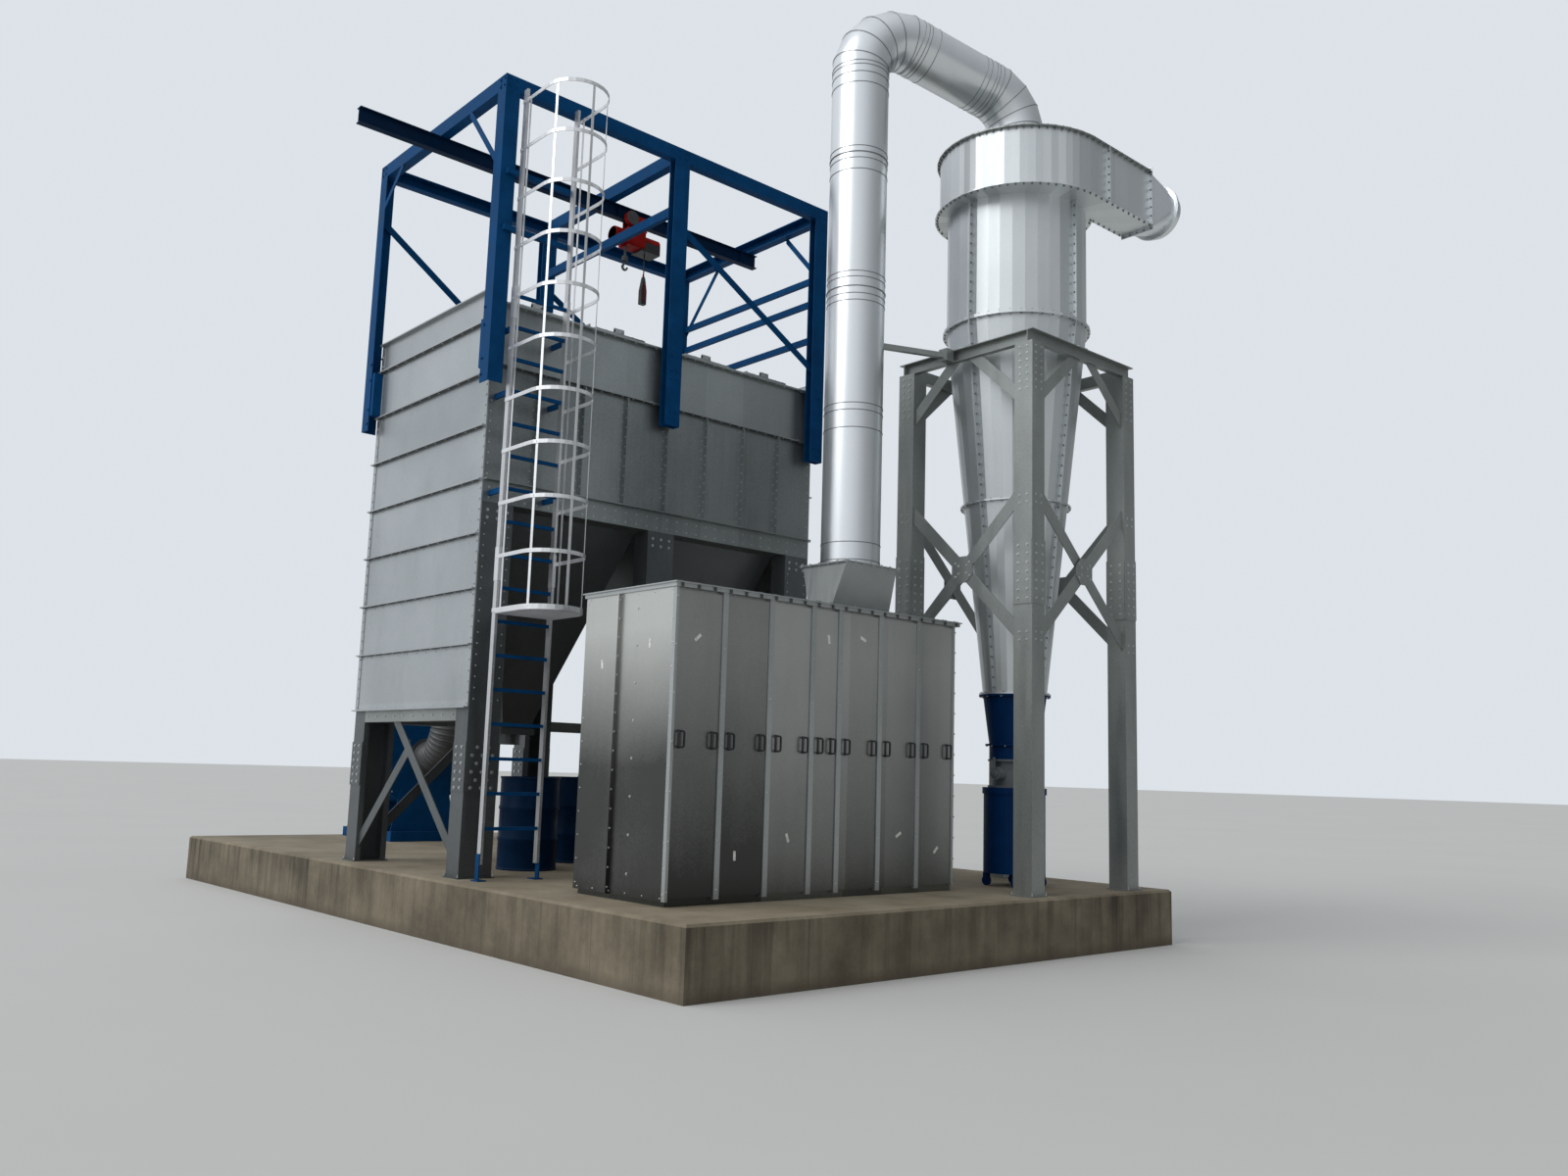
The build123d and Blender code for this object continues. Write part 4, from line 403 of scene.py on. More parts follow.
def paint(name, colour, worn, rough, dust=0.10):
    """Brushed-on enamel: faint mottle, dust on upward faces, and dulled patches."""
    made = Finish(name)
    mottle = made.noise(5.0, detail=5.0)
    thin, thick = [0.82 * c for c in colour], [1.15 * c for c in colour]
    shade = made.mixed(made.spread(mottle, 0.3, 0.7), thin, thick)
    shade = made.mixed(made.spread(made.noise(16.0, detail=6.0), 0.62, 0.74, 0.0, 0.55), shade, worn)
    lying = made.times(made.spread(made.nz, 0.5, 0.95), dust)
    shade = made.mixed(lying, shade, (0.30, 0.29, 0.26))
    made.bump(made.noise(60.0, detail=2.0), 0.12, 0.002)
    made.shader.inputs["Specular IOR Level"].default_value = 0.045
    return made.finish(shade, 0.0, made.spread(mottle, 0.3, 0.7, rough - 0.05, rough + 0.1))


def moulded(name, colour, rough, scale=90.0):
    """Dark plastic, rubber or steel with a fine grain."""
    made = Finish(name)
    grain = made.noise(scale)
    patches = made.noise(7.0, detail=4.0)
    shade = made.mixed(made.spread(patches, 0.3, 0.7), colour, [1.8 * c for c in colour])
    made.bump(grain, 0.25, 0.002)
    return made.finish(shade, 0.0, made.spread(grain, 0.3, 0.7, rough - 0.08, rough + 0.12))


def drawn(name, light, dark, rough):
    """Bright drawn aluminium with lengthwise lines."""
    made = Finish(name)
    lines = made.noise(1.0, (90, 90, 1.5), detail=2.0)
    cloud = made.noise(3.0, detail=4.0)
    value = made.times(lines, 0.6, made.times(cloud, 0.6))
    colour = made.mixed(made.spread(value, 0.35, 0.85), dark, light)
    made.bump(lines, 0.08, 0.002)
    return made.finish(colour, 0.85, made.spread(cloud, 0.3, 0.7, rough - 0.05, rough + 0.12))


def card(name):
    """Plain white card, slightly soiled."""
    made = Finish(name)
    soil = made.noise(40.0, detail=5.0)
    colour = made.mixed(made.spread(soil, 0.4, 0.75), (0.78, 0.78, 0.74), (0.52, 0.50, 0.45))
    return made.finish(colour, 0.0, made.spread(soil, 0.3, 0.7, 0.55, 0.8))


def ground(name):
    """Plain pale floor with a faint, even cloudiness."""
    made = Finish(name)
    darker = [0.97 * c for c in FLOOR_COLOUR]
    colour = made.mixed(made.spread(made.noise(0.25), 0.3, 0.7), darker, FLOOR_COLOUR)
    return made.finish(colour, 0.0, 0.9)


def make_light():
    """Soft overcast sky, brighter on one side, and one broad soft lamp."""
    scene.world = bpy.data.worlds.new("sky")
    scene.world.use_nodes = True
    sky = Nodes(scene.world.node_tree)
    towards = sky.new("TexCoord").outputs["Generated"]
    dot = sky.new("VectorMath", operation="DOT_PRODUCT")
    aim = sky.put(dot, towards, Vector(SKY_TOWARDS).normalized())["Value"]
    level = sky.spread(aim, *SKY_RANGE, kind="SMOOTHSTEP")
    paths = sky.new("LightPath").outputs
    shown = sky.times(paths["Is Glossy Ray"], GLOSSY_SHARE)
    for ray in ("Is Transmission Ray", "Is Camera Ray"):
        shown = sky.math("MAXIMUM", shown, paths[ray])
    colour = sky.mixed(shown, sky.mixed(level, SKY_DIM, SKY_BRIGHT), BACKGROUND)
    sky.put(sky.tree.nodes["Background"], Color=colour, Strength=SKY_STRENGTH)
    lamp = bpy.data.lights.new("soft_sun", "SUN")
    lamp.energy = SUN_STRENGTH
    lamp.angle = SUN_WIDTH
    sun = bpy.data.objects.new("soft_sun", lamp)
    sun.rotation_euler = SUN_TURN
    scene.collection.objects.link(sun)


def basis(axis):
    """A unit axis and two directions square to it."""
    axis = Vector(axis).normalized()
    helper = UP if abs(axis.z) < 0.9 else EAST
    right = helper.cross(axis).normalized()
    return axis, right, axis.cross(right)


def steps(low, high, pitch, inset=0):
    """Even places, close to a pitch apart, from end to end of a range drawn in by an inset."""
    low, high = low + inset, high - inset
    count = max(1, round((high - low) / pitch))
    return [low + (high - low) * i / count for i in range(count + 1)]


def inner(low, high, inset):
    """Two ends drawn in by an inset."""
    return (low + inset, high - inset)


def about(middle, half):
    """Two ends at a distance on each side of a middle."""
    return (middle - half, middle + half)


def sides(low, high):
    """Two ends, each with the sign of its way out."""
    return ((low, -1), (high, 1))


def circle(count, radius, first=0.5):
    """Places evenly round a circle, the first of them a part of a step from zero."""
    turns = (2 * pi * (i + first) / count for i in range(count))
    return [(radius * cos(turn), radius * sin(turn)) for turn in turns]


def border(along, across, ends_along, ends_across):
    """Places on the four edges of a rectangle."""
    return [*product(along, ends_across), *product(ends_along, across)]


class Shape:
    """Corner points and faces gathered for one piece, in millimetres."""

    def __init__(self):
        self.points = []
        self.faces = []

    def add(self, points, faces):
        """Take in more points, and faces that count from the first of them."""
        start = len(self.points)
        self.points += [tuple(point) for point in points]
        self.faces += [tuple(start + i for i in face) for face in faces]

    def box(self, x, y, z):
        """A small straight-sided block between limits."""
        points = [(a, b, c) for c in z for b in y for a in x]
        faces = ((0, 2, 3, 1), (4, 5, 7, 6), (0, 1, 5, 4), (1, 3, 7, 5), (3, 2, 6, 7), (2, 0, 4, 6))
        self.add(points, faces)

    def rings(self, rows, closed=False, caps=True):
        """Skin over rows of points that match, with end caps unless it closes on itself."""
        count = len(rows[0])
        points = [point for row in rows for point in row]
        faces = []
        for i in range(len(rows) if closed else len(rows) - 1):
            low = i * count
            high = (i + 1) % len(rows) * count
            for j in range(count):
                k = (j + 1) % count
                faces.append((low + j, low + k, high + k, high + j))
        if caps and not closed:
            faces.append(tuple(reversed(range(count))))
            faces.append(tuple(range(len(points) - count, len(points))))
        self.add(points, faces)

    def turned(self, centre, axis, profile, count, caps=True):
        """A form turned about an axis from pairs of reach along it and radius."""
        axis, right, up = basis(axis)
        rows = []
        for reach, radius in profile:
            middle = Vector(centre) + axis * reach
            rows.append([middle + right * a + up * b for a, b in circle(count, radius, 0)])
        self.rings(rows, caps=caps)

    def bead(self, centre, axis, proud, half, radius, count):
        """A bead that stands proud of a round duct."""
        foot, crest = radius - 1, radius + proud
        profile = ((-half, foot), (-half / 2, crest), (half / 2, crest), (half, foot))
        self.turned(centre, axis, profile, count, caps=False)

    def heads(self, places, axis, profile):
        """Six-sided fastener heads at every meeting of the places along the three axes."""
        for centre in product(*(spot if isinstance(spot, (tuple, list)) else (spot,) for spot in places)):
            self.turned(centre, axis, profile, 6)

    def bolt(self, places, axis, radius, height):
        """Hexagonal bolt heads, each with a washer under it."""
        washer = height * 0.25
        profile = ((0, radius * 1.45), (washer, radius * 1.45), (washer, radius), (height, radius * 0.92))
        self.heads(places, axis, profile)

    def rivet(self, places, axis, radius, height):
        """Low domed rivet heads."""
        self.heads(places, axis, ((0, radius), (height * 0.7, radius * 0.75), (height, radius * 0.3)))


def piece(name, shape, finish, body="plant", crease=0.0, replaced=()):
    """Make an object of a shape, with its finish, and let it ride on its body."""
    mesh = bpy.data.meshes.new(name)
    mesh.from_pydata([[MM * c for c in point] for point in shape.points], [], shape.faces)
    mesh.validate()
    mesh.materials.append(finish)
    made = bpy.data.objects.new(name, mesh)
    scene.collection.objects.link(made)
    if crease:
        mesh.polygons.foreach_set("use_smooth", [True] * len(mesh.polygons))
        mesh.set_sharp_from_angle(angle=radians(crease))
    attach(made, body)
    if replaced:
        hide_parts(*replaced)


def elbow(corner, to_start, to_end, bend, gores):
    """Corner points of a segmented elbow's centre line."""
    angle = to_start.angle(to_end)
    start = corner + to_start * (bend / tan(angle / 2))
    end = corner + to_end * (bend / tan(angle / 2))
    centre = corner + (to_start + to_end).normalized() * (bend / sin(angle / 2))
    radial = (start - centre).normalized()
    step = (pi - angle) / gores
    reach = bend / cos(step / 2)
    turns = [step * (i + 1 / 2) for i in range(gores)]
    middle = [centre + radial * (reach * cos(turn)) - to_start * (reach * sin(turn)) for turn in turns]
    return [start, *middle, end]


def mitre_rows(points, radius, count):
    """Rings of a round duct along its centre line, cut at the mitre of each corner."""
    runs = [(b - a).normalized() for a, b in zip(points[:-1], points[1:])]
    right, up = basis(runs[0])[1:]
    rows = [[points[0] + right * a + up * b for a, b in circle(count, radius, 0)]]
    for i in range(1, len(points)):
        run = runs[i - 1]
        normal = (run + runs[i]).normalized() if i < len(runs) else run
        rows.append([p + run * ((points[i] - p).dot(normal) / run.dot(normal)) for p in rows[-1]])
    return rows


def round_duct(name, points, beads, replaced):
    """Smooth sheet duct along a line, with a seam ring at each mitre and beads along its runs."""
    sheet, seams = Shape(), Shape()
    sheet.rings(mitre_rows(points, DUCT_R, DUCT_SIDES))
    outer = mitre_rows(points, DUCT_R + SEAM_PROUD, DUCT_SIDES)
    for before, here, after, row in zip(points, points[1:], points[2:], outer[1:]):
        back, on = (here - before).normalized() * SEAM_HALF, (after - here).normalized() * SEAM_HALF
        seams.rings([[p - back for p in row], [p + on for p in row]])
    for centre, axis, size in beads:
        seams.bead(centre, axis, *size, DUCT_R, DUCT_SIDES)
    piece(name + "_seams", seams, zinc_seam, crease=30)
    piece(name, sheet, zinc_duct, crease=30, replaced=[replaced])


def make_ducts():
    """Riser, elbows and crossover, with their beads, seams, clamp rings and the bolted foot."""
    run = (CORNER_B - CORNER_A).normalized()
    upper = elbow(CORNER_A, DOWN, run, ELBOW_R, 5)
    lower = elbow(CORNER_B, -run, DOWN, ELBOW_R, 4)
    start, end = upper[-1], lower[0]
    beads = [((*RISER, z), UP, BEAD) for z in RISER_BEADS]
    beads += [((*RISER, z), UP, CLAMP) for z in RISER_CLAMPS]
    round_duct("riser_sheet", [Vector((*RISER, HOOD_TOP + FLANGE_T)), upper[0]], beads, "riser_duct")
    beads = [(upper[0] + UP * 20, UP, BEAD), (start - run * 20, run, BEAD)]
    round_duct("top_elbow_sheet", upper, beads, "top_elbow")
    beads = [(start.lerp(end, share), run, BEAD) for share in CROSSOVER_BEADS]
    round_duct("crossover_sheet", [start, end], beads, "crossover_duct")
    lower[-1] = Vector((*CYCLONE, ROOF_Z))
    beads = [(end + run * 20, run, BEAD), ((*CYCLONE, ROOF_Z + 55), UP, BEAD)]
    round_duct("drop_elbow_sheet", lower, beads, "drop_elbow")

    bolts = Shape()
    top = HOOD_TOP + FLANGE_T
    for dx, dy in circle(16, DUCT_R + 17):
        bolts.bolt((RISER[0] + dx, RISER[1] + dy, top), UP, 8, 9)
    x_ends, y_ends = about(RISER[0], HOOD_FLANGE[0]), about(RISER[1], HOOD_FLANGE[1])
    for x, y in border(steps(*x_ends, 110), steps(*y_ends, 110)[1:-1], x_ends, y_ends):
        bolts.bolt((x, y, top), UP, 9, 11)
        bolts.bolt((x, y, HOOD_TOP), DOWN, 8, 8)
    piece("hood_bolts", bolts, zinc_bolt)


def make_housing_fasteners():
    """Bolts and rivets on the walls, roof edge and hatches, and dark strips under the flanges, for the
    panel joints and painted shadow.
    """
    strips = Shape()
    levels = [PANEL_TOP - RIB_T - PANEL_STEP * i for i in range(PANELS)]
    ys = steps(*HOUSE_Y, 200, 90)
    for name, (x, way) in zip(("near", "far"), sides(*HOUSE_X)):
        shape = Shape()
        out = EAST * way
        shape.rivet((x + way * SHEET, ys, [z - 26 for z in levels]), out, 8, 6)
        shape.bolt((x + way * 32, [y + 60 for y in ys], levels[:-1]), DOWN, 8, 8)
        reach = sorted((x + way * (SHEET + 1), x + way * (RIB - 3)))
        # A dark strip under each rib flange: the panel joint, and painted shadow under the flange.
        for z in levels[:-1]:
            strips.box(reach, inner(*HOUSE_Y, 62), (z - STRIP, z + 1))
        heights = steps(END_BOTTOM, END_TOP, BOLT_PITCH, 40)
        shape.bolt((x + way * (SHEET + 6), inner(*HOUSE_Y, 30), heights), out, 9, 8)
        piece("end_wall_fasteners_" + name, shape, zinc_bolt)

    ribs = [HOUSE_X[0] + BAY * i for i in range(1, 8)]
    xs = steps(*HOUSE_X, 125, 60)
    lower = steps(SIDE_BOTTOM + 60, BAND_BOTTOM - 50, BOLT_PITCH)
    upper = steps(BAND_BOTTOM, SIDE_TOP, BOLT_PITCH, 60)
    for name, (y, way) in zip(("front", "back"), sides(*HOUSE_Y)):
        shape = Shape()
        out = NORTH * way
        shape.rivet(([x + shift for x in ribs for shift in (-34, 34)], y, lower), out, 8, 6)
        shape.bolt(([x - 6 for x in ribs], y + way * 30, [z + 40 for z in lower]), WEST, 7, 7)
        shape.rivet((xs, y, (BAND_BOTTOM + 40, SIDE_TOP - 45)), out, 7, 5)
        shape.bolt((xs, y + way * 34, (SIDE_TOP - RIB_T, BAND_BOTTOM)), DOWN, 8, 8)
        shape.bolt((xs, y, (SIDE_BOTTOM - 60, BEAM_BOTTOM + 40)), out, 8, 7)
        shape.rivet((inner(*HOUSE_X, 30), y, lower + upper), out, 8, 6)
        # A dark strip under the band's flange: the panel joint, and painted shadow under the flange.
        reach = sorted((y + way * (SHEET + 1), y + way * (RIB - 3)))
        strips.box(inner(*HOUSE_X, 60), reach, (BAND_BOTTOM - STRIP, BAND_BOTTOM + 1))
        piece("side_wall_fasteners_" + name, shape, zinc_bolt)

    shape = Shape()
    spots, ends = steps(-270, 270, 108), (-280, 280)
    for place in HATCHES_X:
        x, y = HOUSE_X[0] + place, HOUSE_Y[0] + HATCH_Y
        for dx, dy in border(spots, spots, ends, ends):
            shape.bolt((x + dx, y + dy, HATCH_LID + 16), UP, 9, 10)
        for middle in about(y, 262):
            depth = about(middle, 7)
            shape.box(about(x, 60), depth, (HATCH_LID + 32, HATCH_LID + 75))
            for foot in about(x, 53):
                shape.box(about(foot, 7), depth, (HATCH_LID + 16, HATCH_LID + 60))
    shape.bolt((steps(*HOUSE_X, 160, 50), inner(*HOUSE_Y, -30), SIDE_TOP + 6), UP, 8, 8)
    piece("roof_fasteners", shape, zinc_bolt)
    # The dark strips paint the joints and the shadow under the flanges.
    piece("joint_and_shadow_strips", strips, dark_steel)


def make_leg_fasteners():
    """Splice bolts, foot bolts and brace bolts of the six legs."""
    shape = Shape()
    for x, (y, out) in product(LEG_COLUMNS, sides(*HOUSE_Y)):
        face = NORTH * out
        three = [x + place for place in (60, 160, 260)]
        two = [x + place for place in (105, 215)]
        for k, z in enumerate(SPLICE_LEVELS):
            shape.bolt((two if k % 2 else three, y + out * 8, z), face, 13, 11)
            for side, way in sides(*inner(x, x + LEG_X, -8)):
                shape.bolt((side, (y - out * 60, y - out * 160), z), EAST * way, 12, 10)
        shape.bolt((inner(x, x + LEG_X, -9), (y + out * 9, y - out * (LEG_Y + 9)), DECK + 12), UP, 6, 26)
        shape.bolt((three, y, (DECK + 3200, DECK + 3270)), face, 11, 9)
    for x, way in sides(*HOUSE_X):
        shape.bolt((x, steps(*HOUSE_Y, 190, LEG_Y + 60), END_BOTTOM - 55), EAST * way, 9, 8)
        for y, out in sides(*HOUSE_Y):
            shape.bolt((x, y - out * 190, steps(DECK + 1560, DECK + 3280, 100)), EAST * way, 9, 8)
            heights = steps(DECK + 1560, DECK + 3140, 100)
            shape.rivet(((x - way * 40, x - way * 280), y, heights), NORTH * out, 8, 6)
    piece("leg_bolts", shape, zinc_bolt)


def handle_loop(shape, x):
    """A round-cornered black loop on two short feet, with a base pad under each foot."""
    y = DOOR_FACE - HANDLE_PROUD
    rows = []
    for a, b in circle(32, 1):
        middle = (x + (12 if a > 0 else -12), HANDLE_Z + (43 if b > 0 else -43))
        section = ((24, 0), (21, -7), (11, -7), (8, 0), (11, 7), (21, 7))
        rows.append([(middle[0] + r * a, y + depth, middle[1] + r * b) for r, depth in section])
    shape.rings(rows, closed=True)
    for z in about(HANDLE_Z, 60):
        shape.box(about(x, 9), (y, DOOR_FACE), about(z, 6))
        shape.box(about(x, 15), (DOOR_FACE - 3, DOOR_FACE), about(z, 9))


def flat_tag(shape, centre, along, tilt):
    """A small plain tag stuck on a sheet, turned by tilt degrees."""
    turn = radians(tilt)
    a = along * cos(turn) + UP * sin(turn)
    b = UP * cos(turn) - along * sin(turn)
    corners = ((-1, -1), (1, -1), (1, 1), (-1, 1))
    row = [Vector(centre) + a * u * TAG_SIZE[0] + b * v * TAG_SIZE[1] for u, v in corners]
    shape.rings([[p - a.cross(b) * TAG_T for p in row], row])


def make_box_details():
    """Door tags, screws, lid clips, end seam bolts and handles of the filter box."""
    bolts, clips, tags, loops = Shape(), Shape(), Shape(), Shape()
    edges = list(accumulate(DOOR_WIDTHS, initial=BOX_X[0]))
    joints = [BOX_X[0] + 13, *edges[1:-1]]
    bolts.rivet((joints, BOX_Y[0], steps(DECK, BOX_TOP, 370, 110)), SOUTH, 7, 5)
    for x in steps(*BOX_X, 161, 40):
        clips.box(about(x, 9), (BOX_Y[0] - 26, BOX_Y[0] - 14), (BOX_TOP - 40, BOX_TOP))
        clips.box(about(x, 9), about(BOX_Y[0], 26), (BOX_TOP, BOX_TOP + 5))
        clips.bolt((x, BOX_Y[0] + 12, BOX_TOP + 5), UP, 6, 8)
    for x, way in sides(*BOX_X):
        out = EAST * way
        ys = steps(*BOX_Y, 220, 60)
        for y in ys:
            clips.box((x + way * 14 - 6, x + way * 14 + 12), about(y, 9), (BOX_TOP, BOX_TOP + 5))
        bolts.rivet((x, ys, inner(DECK, BOX_TOP, 62)), out, 7, 5)
        heights = steps(DECK, BOX_TOP, 150, 90)
        bolts.bolt((x + way * 16, END_SEAM_Y, heights), SOUTH, 7, 8)
        bolts.bolt((x + way * 16, END_SEAM_Y + 10, heights), NORTH, 7, 8)
        bolts.bolt((x, END_BOLTS_Y, steps(DECK + 205, BOX_TOP - 173, 295)), out, 8, 7)
        bolts.rivet((x, inner(*BOX_Y, 30), steps(DECK, BOX_TOP, 190, 90)), out, 7, 5)
    piece("box_fasteners", bolts, zinc_bolt)
    piece("lid_clips", clips, dark_steel)

    for x, z, tilt in DOOR_TAGS:
        flat_tag(tags, (x, DOOR_FACE - TAG_T, DECK + z), EAST, tilt)
    for y, z, tilt in END_TAGS:
        flat_tag(tags, (BOX_X[0] - TAG_T, y, DECK + z), SOUTH, tilt)
    piece("blank_tags", tags, white_card)

    for x in [edge + HANDLE_IN for edge in edges[:-1]] + [edge - HANDLE_IN for edge in edges[1:]]:
        handle_loop(loops, x)
    piece("door_handle_loops", loops, black, crease=50, replaced=["door_handles"])


def scroll_plan(grow):
    """Plan of the inlet scroll, as the casing and its rims follow it."""
    inside = INLET_IN - grow
    lip_x = sqrt((SCROLL_LEAST + grow) ** 2 - inside ** 2)
    last = 360 - degrees(atan2(lip_x, inside))
    points = []
    for angle in range(0, int(last), 10):
        radius = max(SCROLL_LEAST, SCROLL_R - SCROLL_DROP * angle) + grow
        turn = radians(angle)
        points.append((CYCLONE[0] - radius * sin(turn), CYCLONE[1] - radius * cos(turn)))
    points += [(CYCLONE[0] + lip_x, CYCLONE[1] - inside), (MOUTH_X, CYCLONE[1] - inside)]
    points.append((MOUTH_X, CYCLONE[1] - SCROLL_R - grow))
    return points


def along_plan(points, pitch):
    """Places at an even pitch along the sides of a closed outline."""
    found = []
    for (x0, y0), (x1, y1) in zip(points, points[1:] + points[:1]):
        count = max(1, round(hypot(x1 - x0, y1 - y0) / pitch))
        for i in range(count):
            part = (i + 0.5) / count
            found.append((x0 + (x1 - x0) * part, y0 + (y1 - y0) * part))
    return found


def cone_radius(z):
    """Radius of the cone's flats at a height."""
    return CONE_R + (BARREL_R - CONE_R) * (z - CONE_BOTTOM) / (BARREL_BOTTOM - CONE_BOTTOM)


def make_cyclone_fasteners():
    """Bolts round the roof and floor rims, the seams, the cone's rims, the lugs and the inlet."""
    shape = Shape()
    for grow, top, bottom, length in ((16, ROOF_Z, ROOF_Z - 12, 16), (26, FLOOR_Z + 10, FLOOR_Z, 14)):
        for x, y in along_plan(scroll_plan(grow), RIM_PITCH):
            if x < MOUTH_X - 12:
                shape.bolt((x, y, top), UP, 9, 10)
                shape.bolt((x, y, bottom), DOWN, 9, length)
    for x, way in sides(CYCLONE[0] + 270, CYCLONE[0] + 282):
        heights = steps(FLOOR_Z + 50, ROOF_Z - 60, 80)
        shape.bolt((x, CYCLONE[1] - SCROLL_R - 24, heights), EAST * way, 8, 9)
    rims = ((BARREL_BOTTOM, 16, 16), (CONE_MID, 8, 8), (CONE_BOTTOM, 16, 8))
    for z, above, below in rims:
        radius = cone_radius(z)
        for dx, dy in circle(max(12, round(2 * pi * radius / 100)), radius + 22):
            x, y = CYCLONE[0] + dx, CYCLONE[1] + dy
            shape.bolt((x, y, z + above), UP, 8, 9)
            shape.bolt((x, y, z - below), DOWN, 8, 9)
    seams = steps(CONE_BOTTOM + 60, CONE_MID - 50, 95) + steps(CONE_MID, BARREL_BOTTOM, 95, 60)
    seams += steps(BARREL_BOTTOM + 70, FLOOR_Z - 50, 95)
    for (a, b), z, way in product(circle(4, 1, 0), seams, (-1, 1)):
        radius = min(BARREL_R, cone_radius(z)) + 20
        along = Vector((-b, a, 0))
        middle = Vector((CYCLONE[0] + radius * a, CYCLONE[1] + radius * b, z))
        shape.bolt(middle + along * (6 * way), along * way, 8, 9)
    y, z = INLET_MIDDLE
    for dy, dz in border(steps(-165, 165, 82), steps(-280, 280, 93), (-168, 168), (-318, 318)):
        for x, way in sides(MOUTH_X, MOUTH_X + FLANGE_T):
            shape.bolt((x, y + dy, z + dz), EAST * way, 8, 10)
    for dy, dz in circle(12, 268, 0):
        shape.bolt((MOUTH_X + 342, y + dy, z + dz), EAST, 8, 9)
    shape.bolt((inner(*TOWER_X, 50), about(CYCLONE[1], 45), TOWER_TOP + 20), UP, 12, 14)
    shape.bolt((about(CYCLONE[0], 45), inner(*TOWER_Y, 50), TOWER_TOP + 20), UP, 12, 14)
    piece("cyclone_fasteners", shape, zinc_seam)


def make_tower_fasteners():
    """Splice, foot, gusset and knee bolts of the tower."""
    shape = Shape()
    splice = steps(DECK + 2590, DECK + 3070, 80)
    levels = [*BRACE_LEVELS, *steps(TOWER_TOP - 420, TOWER_TOP - 160, 70)]
    for x, way_x in sides(TOWER_X[0], TOWER_X[1] - POST_X):
        for y, way_y in sides(TOWER_Y[0], TOWER_Y[1] - POST_Y):
            plates_x, plates_y = inner(x, x + POST_X, -8), inner(y, y + POST_Y, -8)
            for face, way in sides(*plates_y):
                shape.bolt(((x + 45, x + 135), face, splice), NORTH * way, 10, 10)
            for face, way in sides(*plates_x):
                shape.bolt((face, (y + 50, y + 150), splice), EAST * way, 10, 10)
            shape.bolt(((x + 50, x + 130), y if way_y < 0 else y + POST_Y, levels), NORTH * way_y, 9, 8)
            shape.bolt((x if way_x < 0 else x + POST_X, (y + 60, y + 140), levels), EAST * way_x, 9, 8)
            shape.bolt((plates_x, plates_y, DECK + 12), UP, 6, 24)
    for a, b, reach in product((-1, 1), (-1, 1), (48, 84)):
        across, z = a * reach, TOWER_MID + b * reach * 0.75
        for y, way in sides(*inner(*TOWER_Y, 18)):
            shape.bolt((sum(TOWER_X) / 2 + across, y, z), NORTH * way, 10, 9)
        for x, way in sides(*inner(*TOWER_X, 18)):
            shape.bolt((x, sum(TOWER_Y) / 2 + across, z), EAST * way, 10, 9)
    piece("tower_bolts", shape, zinc_bolt)


def make_frame_bolts():
    """Bolts of the blue hoist frame: post packers, heads and knees, and the beams' end plates."""
    shape = Shape()
    for y, way in sides(*FRAME_Y):
        out = NORTH * way
        for x in (-832, 1156):
            levels = [DECK + z for z in (4480, 4560, 4900, 4980, 5140)]
            shape.bolt(((x + 60, x + 125), y, levels), out, 10, 9)
            shape.bolt(((x + 50, x + 135), y, FRAME_HEADS), out, 9, 8)
        levels = [DECK + z for z in (4490, 4640, 4960, 5130)]
        shape.bolt((FRAME_END, (y - way * 121, y - way * 130), levels), WEST, 10, 9)
        shape.bolt((FRAME_END, (y - way * 35, y - way * 110), FRAME_HEADS), WEST, 9, 8)
        shape.bolt(((FRAME_END + 35, FRAME_END + 110), y, FRAME_HEADS), out, 9, 8)
        beam = sorted((y - way * 10, y - way * 98))
        for plate in ((-2806, -2800), (1330, 1336)):
            shape.box(plate, beam, (FRAME_LOW + 8, FRAME_LOW + 132))
    piece("frame_bolts", shape, blue)


